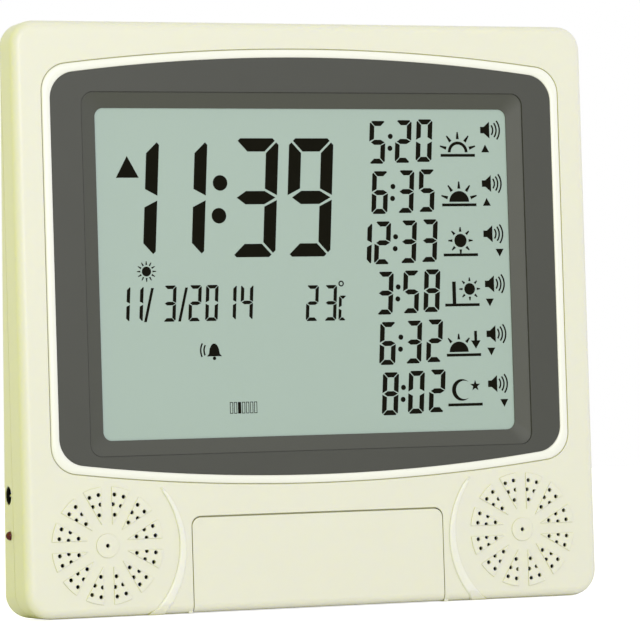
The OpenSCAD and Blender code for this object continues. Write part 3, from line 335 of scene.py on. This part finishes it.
# crescent ribs beside the grilles: outer and inner are the two edge circles on the left side as
# middle X, middle Z and radius; tipRate is how fast the upper tip grows along the rib
ribLook = {"outer": (-107.4, 28.9, 42.9), "inner": (-107.5, 31.3, 39.9), "tip": 56.2,
           "base": 0.9, "high": 0.84, "power": 4.0, "sunk": 0.3, "edgeR": 5.0, "steps": 90,
           "across": 17, "tipRate": 22}
# the whole rib is painted a whiter cream than the case as a painted highlight, and the painted
# shade at its feet is paler than the case's
ribPaintedTone = dict(caseLook, colour="#F6F5F0", deep="#F5F4EE", paintedGapShade="#D9D8A0")


def crescentRib(side):
    # a superellipse section is carried from the upper tip to the base between two arcs; at the
    # tip it grows with the root of the way along; near the base the case's face rolls back on a
    # quarter circle, and the rib goes with it
    look = ribLook
    along = np.linspace(0, 1, look["steps"])[:, None]
    arcs = []
    for x, z, r in (look["outer"], look["inner"]):
        start, stop = np.arcsin((np.array([look["tip"], look["base"]]) - z) / r)
        turn = start + (stop - start) * along
        arcs.append(np.hstack([x + r * np.cos(turn), z + r * np.sin(turn)]))
    middle, half = (arcs[0] + arcs[1]) / 2, (arcs[0] - arcs[1]) / 2
    across = np.linspace(-1, 1, look["across"])
    grown = np.clip(along * look["tipRate"], 0, 1) ** 0.5
    spot = middle[:, None] + half[:, None] * (across[None, :, None] * grown[:, :, None])
    power = look["power"]
    high = look["high"] * grown * (1 - np.abs(across) ** power)[None] ** (1 / power)
    roll = np.clip(look["edgeR"] - spot[..., 1], 0, look["edgeR"])
    face = look["edgeR"] - np.sqrt(look["edgeR"] ** 2 - roll ** 2)
    top = np.stack([spot[..., 0] * side, face - high, spot[..., 1]], 2)
    under = np.stack([spot[..., 0] * side, face + look["sunk"], spot[..., 1]], 2)[:, ::-1]
    grid = np.concatenate([top, under], 1) * mm + [0, faceY, 0]
    if side > 0:
        return loopSurface("crescent_rib_left", grid, False)
    return loopSurface("crescent_rib_right", grid[:, ::-1], False)


# the rib's whiter tone is a painted highlight
ribPlastic = mouldedPlastic("cream ABS rib with painted highlight", ribPaintedTone)
for side in (1, -1):
    rib = crescentRib(side)
    rib.data.materials.append(ribPlastic)
    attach(rib, "case")


def disc(x, z, r, count=32):
    # points at equal angles on a circle
    turn = np.linspace(0, 2 * np.pi, count, endpoint=False)
    return np.stack([x + r * np.cos(turn), z + r * np.sin(turn)], 1)


def arcBand(x, z, inner, outer, start, end, count=20):
    # out along the outer arc and back along the inner one
    turn = np.radians(np.linspace(start, end, count))[:, None]
    way = np.hstack([np.cos(turn), np.sin(turn)])
    return np.array([x, z]) + np.vstack([way * outer, way[::-1] * inner])


def bar(x0, z0, x1, z1, width, tip=None):
    # a straight stroke between two points, which may taper to another width
    line = np.array([x1 - x0, z1 - z0], float)
    side = np.array([-line[1], line[0]]) / np.hypot(*line) / 2
    first, last = np.array([x0, z0]), np.array([x1, z1])
    tip = width if tip is None else tip
    return np.array([first + side * width, first - side * width,
                     last - side * tip, last + side * tip])


def rays(x, z, inner, outer, width, turns, taper=0.4):
    # strokes from one circle to another, each narrower at its far end
    return [bar(x + inner * math.cos(t), z + inner * math.sin(t),
                x + outer * math.cos(t), z + outer * math.sin(t), width, width * taper)
            for t in np.radians(turns)]


def extrudeOutlines(name, outlines, frontY, thickness, place=None):
    # each flat outline in X and Z is carried straight back along Y; each end is one face
    points, faces, start = [], [], 0
    for outline in outlines:
        after = np.roll(outline, -1, 0)
        area = np.sum(outline[:, 0] * after[:, 1] - after[:, 0] * outline[:, 1])
        flat = (outline if area > 0 else outline[::-1]) * mm
        count = len(flat)
        for y in (frontY, frontY + thickness):
            points.append(np.stack([flat[:, 0], np.full(count, y), flat[:, 1]], 1))
        front = start + np.arange(count)
        back, turned = front + count, np.roll(front, -1)
        faces += [front.tolist(), back[::-1].tolist()]
        faces += np.stack([front, back, turned + count, turned], 1).tolist()
        start += 2 * count
    cloud = np.vstack(points)
    if place is not None:
        cloud = place(cloud)
    mesh = bpy.data.meshes.new(name)
    mesh.from_pydata(cloud.tolist(), [], faces)
    mesh.validate()
    mesh.update()
    return addPiece(name, mesh)


# the sun in five of the rows and over the date: at is its middle from the row's, half has the
# two radii of a half disc, full the radius of a whole one; rays run from, to, width, angles
rising, allRound = (18, 54, 90, 126, 162), range(0, 360, 45)
sunLook = {"dawn": {"at": (0, -4.6), "half": (3.6, 5.0), "rays": (6.1, 9.4, 1.5, rising)},
           "sunrise": {"at": (0, -4.6), "half": (0, 5.0), "rays": (6.1, 9.4, 1.5, rising)},
           "noon": {"at": (0, 0.6), "full": 3.1, "rays": (4.1, 6.2, 1.3, allRound)},
           "afternoon": {"at": (3.9, 1.3), "full": 2.7, "rays": (3.6, 5.3, 1.1, allRound)},
           "sunset": {"at": (-2.4, -4.6), "half": (0, 4.8), "rays": (5.8, 8.4, 1.4, (50, 90, 130))},
           "today": {"at": (0, 0), "full": 2.2, "rays": (2.9, 4.6, 0.8, range(0, 360, 30))}}


def sun(x, z, part):
    # a whole disc, or half a disc or ring on the ground line, with tapering rays about it
    look = sunLook[part]
    x, z = x + look["at"][0], z + look["at"][1]
    body = disc(x, z, look["full"]) if "full" in look else arcBand(x, z, *look["half"], 0, 180)
    return [body] + rays(x, z, *look["rays"])


# outer and inner arcs as from, to and number of points; shift and bite are parts of the radius
moonLook = {"outer": (47, 313, 32), "inner": (300, 60, 28), "shift": 0.25, "bite": 0.85}


def crescent(x, z, r):
    # the outer arc of a circle, closed by the arc of a smaller one beside it
    outer, inner = [np.radians(np.linspace(*moonLook[key])) for key in ("outer", "inner")]
    bite = moonLook["bite"] * r
    far = np.stack([x + r * np.cos(outer), z + r * np.sin(outer)], 1)
    near = np.stack([x + moonLook["shift"] * r + bite * np.cos(inner),
                     z + bite * np.sin(inner)], 1)
    return np.vstack([far, near])


def star(x, z, r, waist=0.42):
    # ten corners, every second one drawn in
    turn = np.radians(90 + 36 * np.arange(10))
    reach = np.where(np.arange(10) % 2 == 0, r, waist * r)
    return np.stack([x + reach * np.cos(turn), z + reach * np.sin(turn)], 1)


# pole is x, foot, top and width; arrow the same, downwards, with its head; moon and star are
# place and radius; ground is its half length, drop below the row's middle and width
signLook = {"pole": (-4.0, -5.4, 4.8, 1.8), "arrow": (6.2, 5.0, 0.4, 1.4),
            "head": [(3.8, 0.6), (6.2, -3.2), (8.6, 0.6)], "moon": (-1.6, 0.8, 5.0),
            "star": (5.2, 2.6, 2.6), "ground": (8.7, 6.0, 1.3)}


def upright(x, z, key):
    offset, start, end, width = signLook[key]
    return bar(x + offset, z + start, x + offset, z + end, width)


def rowSigns(x, rowZ):
    # the sun's place through the day, from dawn to night, each over a ground line
    look = signLook
    moonX, moonZ, moonR = look["moon"]
    starX, starZ, starR = look["star"]
    half, drop, width = look["ground"]
    dawn, sunrise, noon, afternoon, sunset, night = rowZ
    signs = [
        sun(x, dawn, "dawn"),
        sun(x, sunrise, "sunrise"),
        sun(x, noon, "noon"),
        sun(x, afternoon, "afternoon") + [upright(x, afternoon, "pole")],
        sun(x, sunset, "sunset") + [upright(x, sunset, "arrow"),
                                    np.array(look["head"]) + [x, sunset]],
        [crescent(x + moonX, night + moonZ, moonR), star(x + starX, night + starZ, starR)],
    ]
    return [shape for sign, z in zip(signs, rowZ)
            for shape in sign + [bar(x - half, z - drop, x + half, z - drop, width)]]


hornLook = {"cone": [(-4.4, -1.5), (-2.6, -1.5), (0.2, -3.9), (0.2, 3.9), (-2.6, 1.5),
                     (-4.4, 1.5)],
            "mouth": -1.6, "arcs": (3.2, 4.9, 6.6), "stroke": 0.75, "spread": 38, "steps": 12}


def horn(x, z):
    # loudspeaker sign: a cone in outline and three arcs
    look = hornLook
    arcs = [arcBand(x + look["mouth"], z, r, r + look["stroke"], -look["spread"],
                    look["spread"], look["steps"]) for r in look["arcs"]]
    return [np.array(look["cone"]) + [x, z]] + arcs


def marker(x, z, up, size=2.0, drop=0.8):
    # a small triangle: up before noon, down after it
    rise = size if up else -size
    return np.array([[x - size, z - rise * drop], [x + size, z - rise * drop], [x, z + rise]])


# left half of the outline from lip to crown; clapper is its drop, radius and corners; arcs are
# inner and outer radius
bellLook = {"left": [(-3.6, -2.6), (-2.6, -1.5), (-2.2, 0.8), (-1.4, 2.4), (-0.5, 3.1)],
            "clapper": (3.5, 0.8, 16), "arcs": ((4.6, 5.3), (6.2, 6.9)), "spread": (150, 205)}


def bell(x, z):
    # the outline is mirrored about its middle; a clapper hangs below and two arcs sound beside it
    look = bellLook
    left = np.array(look["left"])
    drop, r, corners = look["clapper"]
    arcs = [arcBand(x, z, *radii, *look["spread"]) for radii in look["arcs"]]
    return [np.vstack([left, left[::-1] * [-1, 1]]) + [x, z], disc(x, z - drop, r, corners)] + arcs


weekLook = {"days": 7, "pitch": 1.95, "high": 5.2, "half": 0.6, "line": 0.28, "full": 1.5}


def weekBars(x, z, filled):
    # an open box of four strokes for each day, and one broad stroke for the filled day
    look = weekLook
    top, half, line = z + look["high"], look["half"], look["line"]
    shapes = []
    for day in range(look["days"]):
        middle = x + day * look["pitch"]
        if day == filled:
            shapes.append(bar(middle, z, middle, top, look["full"]))
            continue
        left, right = middle - half, middle + half
        shapes += [bar(left, z, left, top, line), bar(right, z, right, top, line)]
        shapes += [bar(left, level, right, level, line) for level in (z + line / 2, top - line / 2)]
    return shapes


# pictures on the display: X from the middle and Z above the base; a marker is X, Z, whether it
# points up, and its size where it isn't a small one
pictureLook = {"rowX": 76.4, "rowZ": (211.0, 188.1, 165.0, 141.9, 118.8, 95.9), "hornX": 92.6,
               "hornZ": (216.7, 191.9, 168.6, 145.4, 122.3, 99.2), "depth": 3.34,
               "thick": 0.06,
               "markers": ((90.4, 208.0, True), (90.4, 183.2, True), (96.2, 160.0, False),
                           (90.4, 137.0, False), (90.4, 114.3, False), (96.2, 90.4, False),
                           (-86.2, 199.4, True, 5.4)),
               "today": (-78.4, 153.1), "bell": (-47.0, 117.2), "week": (-39.5, 88.6),
               "day": 2}

signs = rowSigns(pictureLook["rowX"], pictureLook["rowZ"])
for hornZ in pictureLook["hornZ"]:
    signs += horn(pictureLook["hornX"], hornZ)
signs += [marker(*values) for values in pictureLook["markers"]]
signs += sun(*pictureLook["today"], "today")
signs += bell(*pictureLook["bell"])
signs += weekBars(*pictureLook["week"], pictureLook["day"])
ridesOn(extrudeOutlines("display_signs", signs, faceY + pictureLook["depth"] * mm,
                        pictureLook["thick"] * mm), "case", ink)
print("display ready:", len(signs), "shapes")

# rowStep is the distance between two tracks; trackShare is a track's width in texture units
boardLook = {"mask": "#1F5A38", "maskPale": "#236040", "trace": "#2F7A4C", "rowStep": 5.08,
             "shift": 0.37, "trackShare": 0.03, "trackHeight": 0.03, "glossSize": 6,
             "rough": (0.28, 0.4)}
brickRow = 0.25  # height of one row of the brick texture at scale 1


def solderMask():
    # green lacquer over copper: straight tracks stand a hair proud and look lighter
    look = boardLook
    material, tree, shader, where = startMaterial("solder mask on copper", {
        "IOR": 1.5, "Coat Weight": 0.3})
    turned = addNode(tree, "ShaderNodeMapping", ins={
        "Vector": where, "Rotation": (math.pi / 2, 0, 0)})
    tracks = addNode(tree, "ShaderNodeTexBrick", {"offset": look["shift"], "squash": 1.0}, {
        "Vector": turned.outputs["Vector"], "Scale": brickRow / (look["rowStep"] * mm),
        "Mortar Size": look["trackShare"], "Color1": hexColour(look["mask"]),
        "Color2": hexColour(look["maskPale"]), "Mortar": hexColour(look["trace"])})
    bump = addNode(tree, "ShaderNodeBump", ins={
        "Height": tracks.outputs["Fac"], "Distance": look["trackHeight"] * mm})
    tree.links.new(tracks.outputs["Color"], shader.inputs["Base Color"])
    tree.links.new(bump.outputs["Normal"], shader.inputs["Normal"])
    tree.links.new(mottle(tree, where, look["glossSize"], *look["rough"]),
                   shader.inputs["Roughness"])
    return material


# two tones and the roughness of each plating; drawn is the scale in X, Y and Z that makes
# lines of its blotches
metalLook = {"zinc": ("#B9BCBF", "#A9ACB0", 0.28), "sheet": ("#A4A7AA", "#979A9E", 0.34),
             "nickel": ("#C5C3BC", "#B5B3AC", 0.22), "magnet": ("#55565A", "#4B4C50", 0.42),
             "cloudSize": 3, "drawn": (1, 8, 1), "lineSize": 1.2, "lineHeight": 0.01,
             "duller": 0.1, "brighter": 0.05, "detail": 3}


def platedMetal(name, finish):
    # plated steel: grey with a slight cloud and fine drawn lines in the roughness
    look = metalLook
    first, second, rough = look[finish]
    material, tree, shader, where = startMaterial(name, {"Metallic": 1.0})
    tone = cloudyTone(tree, where, look["cloudSize"], first, second, look["detail"])
    drawn = addNode(tree, "ShaderNodeMapping", ins={
        "Vector": where, "Scale": look["drawn"]}).outputs["Vector"]
    sheen = mottle(tree, drawn, look["lineSize"], rough - look["brighter"],
                   rough + look["duller"], look["detail"])
    bump = addNode(tree, "ShaderNodeBump", ins={
        "Height": mottle(tree, drawn, look["lineSize"], 0, 1, look["detail"]),
        "Distance": look["lineHeight"] * mm})
    tree.links.new(tone, shader.inputs["Base Color"])
    tree.links.new(sheen, shader.inputs["Roughness"])
    tree.links.new(bump.outputs["Normal"], shader.inputs["Normal"])
    return material


# x is the loudspeaker's distance from the middle, ringStep the space between pressed rings
coneLook = {"x": 101.65, "z": 31.6, "colour": "#232323", "deep": "#2E2D2B", "fibre": 0.7,
            "detail": 4, "rough": (0.75, 0.9), "ringStep": 2.856, "unevenness": 0.2,
            "ringHeight": 0.12, "fibreHeight": 0.05}
waveLength = 2 * math.pi / 20  # from ring to ring in the wave texture at scale 1


def conePaper(side):
    # coated paper pulp: dark, fibrous, with pressed rings about the loudspeaker's axis
    look = coneLook
    material, tree, shader, where = startMaterial("coated cone paper", {"IOR": 1.45})
    centred = addNode(tree, "ShaderNodeMapping", ins={
        "Vector": where, "Location": (-side * look["x"] * mm, 0, -look["z"] * mm)})
    rings = addNode(tree, "ShaderNodeTexWave", {"wave_type": "RINGS", "rings_direction": "Y"}, {
        "Vector": centred.outputs["Vector"], "Scale": waveLength / (look["ringStep"] * mm),
        "Distortion": look["unevenness"]})
    pressed = addNode(tree, "ShaderNodeBump", ins={
        "Height": rings.outputs["Fac"], "Distance": look["ringHeight"] * mm})
    fine = addNode(tree, "ShaderNodeBump", ins={
        "Height": mottle(tree, where, look["fibre"], 0, 1, look["detail"]),
        "Distance": look["fibreHeight"] * mm, "Normal": pressed.outputs["Normal"]})
    tone = cloudyTone(tree, where, look["fibre"], look["colour"], look["deep"], look["detail"])
    tree.links.new(tone, shader.inputs["Base Color"])
    tree.links.new(mottle(tree, where, look["fibre"], *look["rough"], look["detail"]),
                   shader.inputs["Roughness"])
    tree.links.new(fine.outputs["Normal"], shader.inputs["Normal"])
    return material


# red tinted clear resin: dark in itself, with a bright wet surface
lampLook = {"colour": "#5E161A", "deep": "#501113", "cloudSize": 2, "glossSize": 1.5,
            "rough": (0.12, 0.2)}

lampResin = evenFinish("red lamp resin", lampLook, {
    "IOR": 1.5, "Specular IOR Level": 0.3, "Coat Weight": 0.12, "Coat Roughness": 0.05})[0]
nickel = platedMetal("nickel plated spring steel", "nickel")
dress(solderMask(), "main_board", "key_board", "power_board")
dress(platedMetal("zinc plated steel", "zinc"), "board_screws", "key_board_screws",
      "speaker_washers", "speaker_screws", "power_board_screws", "case_screws")
dress(platedMetal("pressed speaker steel", "sheet"), "left_speaker_frame",
      "right_speaker_frame")
dress(nickel, "battery_spring", "battery_contacts", "jack_pin")
dress(platedMetal("grey magnet plating", "magnet"), "left_speaker_magnet",
      "right_speaker_magnet")
dress(conePaper(-1), "left_speaker_cone")
dress(conePaper(1), "right_speaker_cone")
dress(lampResin, "indicator_lamp")

# the nose of the jack fills the hole in the side wall; lengths run inwards from the wall's
# outer face, bore, nose and pin are radii, and hair is the radius at which the pin closes
inletLook = {"axis": (-140.0, 6.3, 55.0), "bore": 3.15, "nose": 4.05, "mouth": 0.35,
             "lip": 0.3, "chamferWidth": 0.35, "chamferDepth": 0.4, "reach": 2.55, "pin": 0.8,
             "pinTip": 0.75, "pinEnd": 12.1, "hair": 0.01, "lipSteps": 5, "tipSteps": 7}


def lathe(name, profile, axis, steps=48):
    # a profile of (length inwards, radius) pairs is turned about the inlet's axis; the profile
    # closes on itself
    length, radius = np.array(profile, float).T
    turn = np.linspace(0, 2 * np.pi, steps, endpoint=False)[:, None]
    x = np.broadcast_to(axis[0] + length, (steps, len(length)))
    grid = np.stack([x, axis[1] + radius * np.cos(turn), axis[2] + radius * np.sin(turn)], 2)
    return loopSurface(name, grid * mm)


def inletNose():
    # a straight sleeve with a rounded outer lip and a chamfered bore
    look = inletLook
    r, mouth, bore, nose, reach = [look[key] for key in ("lip", "mouth", "bore", "nose", "reach")]
    lip = [(mouth + r - r * math.sin(t), nose - r + r * math.cos(t))
           for t in np.radians(np.linspace(0, 90, look["lipSteps"]))]
    return [(reach, bore), (reach, nose)] + lip + [
        (mouth, bore + look["chamferWidth"]), (mouth + look["chamferDepth"], bore)]


def inletPin():
    # a round rod whose tip is half a ball; both ends run down to a hair's breadth
    look = inletLook
    tip = [(look["pinTip"] + look["pin"] * (1 - math.cos(t)),
            max(look["pin"] * math.sin(t), look["hair"]))
           for t in np.radians(np.linspace(0, 90, look["tipSteps"]))]
    return tip + [(look["pinEnd"], look["pin"]), (look["pinEnd"], look["hair"])]


ridesOn(lathe("inlet_nose", inletNose(), inletLook["axis"]), "case",
        jackPlastic)
ridesOn(lathe("inlet_pin", inletPin(), inletLook["axis"]), "case", nickel)
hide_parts("jack_pin")
print("boards, metal and loudspeakers ready")

# a thin lip round the flap's recess, just behind the flap, closes the gap beside and above it;
# half, top and corner are the recess's, and the lip reaches into the wall and out of it
lipLook = {"half": 61.65, "top": 43.3, "corner": 4.35, "into": 0.3, "out": 1.4, "foot": 9.0,
           "depth": 2.4, "thick": 0.9, "steps": 9}


def lipOutline(offset):
    # up one side, round two quarter circles and down the other side, offset from the recess
    look = lipLook
    half, top, corner = [look[key] + offset for key in ("half", "top", "corner")]
    turn = np.radians(np.linspace(0, 90, look["steps"]))[:, None]
    bend = np.array([half - corner, top - corner]) + corner * np.hstack(
        [np.cos(turn), np.sin(turn)])
    side = np.vstack([[half, look["foot"]], bend])
    return np.vstack([side, side[::-1] * [-1, 1]])


lip = np.vstack([lipOutline(lipLook["into"]), lipOutline(-lipLook["out"])[::-1]])
ridesOn(extrudeOutlines("flap_lip", [lip], faceY + lipLook["depth"] * mm,
                        lipLook["thick"] * mm), "case", caseAbs)

# one to six dots over the keys tell them apart
dotLook = {"keys": 6, "pitch": 18.0, "z": 30.2, "r": 0.55, "step": 1.7, "depth": 8.4,
           "thick": 0.03, "corners": 20}


def keyDots():
    # key number n has n dots in a row about its middle
    look = dotLook
    return [disc((key - (look["keys"] - 1) / 2) * look["pitch"] + (k - key / 2) * look["step"],
                 look["z"], look["r"], look["corners"])
            for key in range(look["keys"]) for k in range(key + 1)]


ridesOn(extrudeOutlines("key_marks", keyDots(),
                        faceY + (dotLook["depth"] - dotLook["thick"]) * mm,
                        dotLook["thick"] * mm), "case",
        mouldedPlastic("printed key marks", dict(bezelLook, edge=0)))

# cell outlines with their poles, raised on the battery bay's floor; rearY is the rear face's
# distance behind the front at the base, and lean its slope; plus and minus are from, to in X
bayLook = {"z": 58.0, "floor": -17.2, "rise": 0.3, "cells": (-21.5, 28.8), "long": 49.0,
           "high": 13.0, "rearY": 31, "lean": 14.7 / 265, "line": 0.7, "sign": 1.0,
           "plus": (15, 20), "minus": (-20, -15)}


def onSlope(cloud):
    # carries points from the sloping rear face's own frame into the CAD frame
    baseY = faceY + (bayLook["rearY"] - bayLook["z"] * bayLook["lean"]) * mm
    slope = math.atan(bayLook["lean"])
    c, s = math.cos(slope), math.sin(slope)
    y, v = cloud[:, 1], cloud[:, 2]
    return np.stack([cloud[:, 0], baseY + y * c - v * s,
                     bayLook["z"] * mm + y * s + v * c], 1)


def cellMarks(x):
    # four strokes round the cell, a plus at its right end and a minus at its left
    look = bayLook
    w, h = look["long"] / 2, look["high"] / 2
    start, end = look["plus"]
    middle, arm = (start + end) / 2, (end - start) / 2
    box = [bar(x - w, -h, x + w, -h, look["line"]), bar(x - w, h, x + w, h, look["line"]),
           bar(x - w, -h, x - w, h, look["line"]), bar(x + w, -h, x + w, h, look["line"])]
    return box + [bar(x + start, 0, x + end, 0, look["sign"]),
                  bar(x + middle, -arm, x + middle, arm, look["sign"]),
                  bar(x + look["minus"][0], 0, x + look["minus"][1], 0, look["sign"])]


marks = [mark for x in bayLook["cells"] for mark in cellMarks(x)]
ridesOn(extrudeOutlines("bay_marks", marks, bayLook["floor"] * mm, bayLook["rise"] * mm,
                        onSlope), "case", caseAbs)
print("marks ready")

# brightness of the room level with the clock and overhead, and the tone of a warm card to the
# left; the spans are parts of a view direction's X, Y and Z
studioLook = {"ambient": 0.9, "top": 0.66, "card": (0.86, 0.92, 0.0, 1.0),
              "cardX": (-0.75, -0.32), "cardY": (-0.8, -0.45), "topZ": (0.2, 0.9)}


def studioWorld():
    # a soft pale room with a warm card to the left; the camera itself sees plain white
    look = studioLook
    world = bpy.data.worlds.new("studio")
    bpy.context.scene.world = world
    world.use_nodes = True
    tree = world.node_tree
    tree.nodes.clear()
    way = addNode(tree, "ShaderNodeTexCoord").outputs["Generated"]
    parts = addNode(tree, "ShaderNodeSeparateXYZ", ins={"Vector": way}).outputs
    ramps = {}
    for axis, span, low, high in (("X", "cardX", 1.0, 0.0), ("Y", "cardY", 0.0, 1.0),
                                  ("Z", "topZ", look["ambient"], look["top"])):
        ramps[axis] = addNode(tree, "ShaderNodeMapRange", ins={
            "Value": parts[axis], "From Min": look[span][0], "From Max": look[span][1],
            "To Min": low, "To Max": high}).outputs["Result"]
    share = addNode(tree, "ShaderNodeMath", {"operation": "MULTIPLY"}, {
        0: ramps["X"], 1: ramps["Y"]}).outputs[0]
    tone = addNode(tree, "ShaderNodeMix", {"data_type": "RGBA"}, {
        mixShare: share, mixFirst: ramps["Z"], mixSecond: look["card"]}).outputs[mixResult]
    seen = addNode(tree, "ShaderNodeLightPath").outputs["Is Camera Ray"]
    light = addNode(tree, "ShaderNodeBackground", ins={"Color": tone}).outputs[0]
    plain = addNode(tree, "ShaderNodeBackground", ins={"Color": (1, 1, 1, 1)}).outputs[0]
    mix = addNode(tree, "ShaderNodeMixShader", ins={0: seen, 1: light, 2: plain})
    addNode(tree, "ShaderNodeOutputWorld", ins={"Surface": mix.outputs[0]})


# matt studio paper; reach is the half width, drop how far it lies below the base
floorLook = {"colour": "#EDEDEC", "deep": "#EBEBEA", "cloudSize": 300, "glossSize": 100,
             "rough": (0.85, 0.95), "reach": 6000, "drop": 0.4, "glow": 0.8}


def paleFloor():
    # one wide sheet just under the base; its glow is for the camera alone, so it stays as pale
    # as the room
    corners = np.array([[-1, -1], [1, -1], [1, 1], [-1, 1]]) * floorLook["reach"] * mm
    sheet = np.hstack([corners, np.full((4, 1), -floorLook["drop"] * mm)])
    mesh = bpy.data.meshes.new("floor")
    mesh.from_pydata(sheet.tolist(), [], [[0, 1, 2, 3]])
    floor = addPiece("floor", mesh)
    material, tree, shader = evenFinish("pale studio paper", floorLook, {
        "Specular IOR Level": 0.0, "Emission Color": (1, 1, 1, 1)})
    seen = addNode(tree, "ShaderNodeLightPath").outputs["Is Camera Ray"]
    glow = addNode(tree, "ShaderNodeMath", {"operation": "MULTIPLY"}, {
        0: seen, 1: floorLook["glow"]})
    tree.links.new(glow.outputs[0], shader.inputs["Emission Strength"])
    floor.data.materials.append(material)


def addPosed(name, data, right, up, back, place):
    # the pose's columns are the thing's three axes and its place
    thing = addPiece(name, data)
    pose = np.eye(4)
    pose[:3] = np.column_stack([right, up, back, place])
    thing.matrix_world = Matrix(pose.tolist())
    return thing


# one large soft box in front of the clock, in metres and watts
keyBoxLook = {"place": (-0.2, -2.5, 0.6), "aim": (0, 0, 0.13), "size": (1.6, 1.2), "power": 17,
              "colour": (0.99, 0.98, 1.0)}


def softBox(name, look):
    # its back axis points from the aim to the box, and its right axis is level
    data = bpy.data.lights.new(name, "AREA")
    data.shape, data.energy, data.color = "RECTANGLE", look["power"], look["colour"]
    data.size, data.size_y = look["size"]
    back = np.array(look["place"], float) - np.array(look["aim"], float)
    back /= np.linalg.norm(back)
    right = np.cross([0, 0, 1], back)
    right /= np.linalg.norm(right)
    addPosed(name, data, right, np.cross(back, right), back, look["place"])


# place in metres and the view's three axes; lens and sensor in millimetres, clip in metres
cameraLook = {"place": (-0.710117, -1.714438, 0.075376), "right": (0.921889, -0.386283, -0.030112),
              "up": (0.016319, -0.038937, 0.999108), "forward": (0.38709, 0.92157, 0.02963),
              "lens": 228.67, "sensor": 36, "clip": (0.01, 50)}

studioWorld()
paleFloor()
softBox("key box", keyBoxLook)
camera = addPosed("camera", bpy.data.cameras.new("camera"), cameraLook["right"],
                  cameraLook["up"], -np.array(cameraLook["forward"]), cameraLook["place"])
camera.data.sensor_width = cameraLook["sensor"]
camera.data.lens = cameraLook["lens"]
camera.data.clip_start, camera.data.clip_end = cameraLook["clip"]
bpy.context.scene.camera = camera
bpy.context.scene.view_settings.view_transform = "Standard"
print("studio ready")
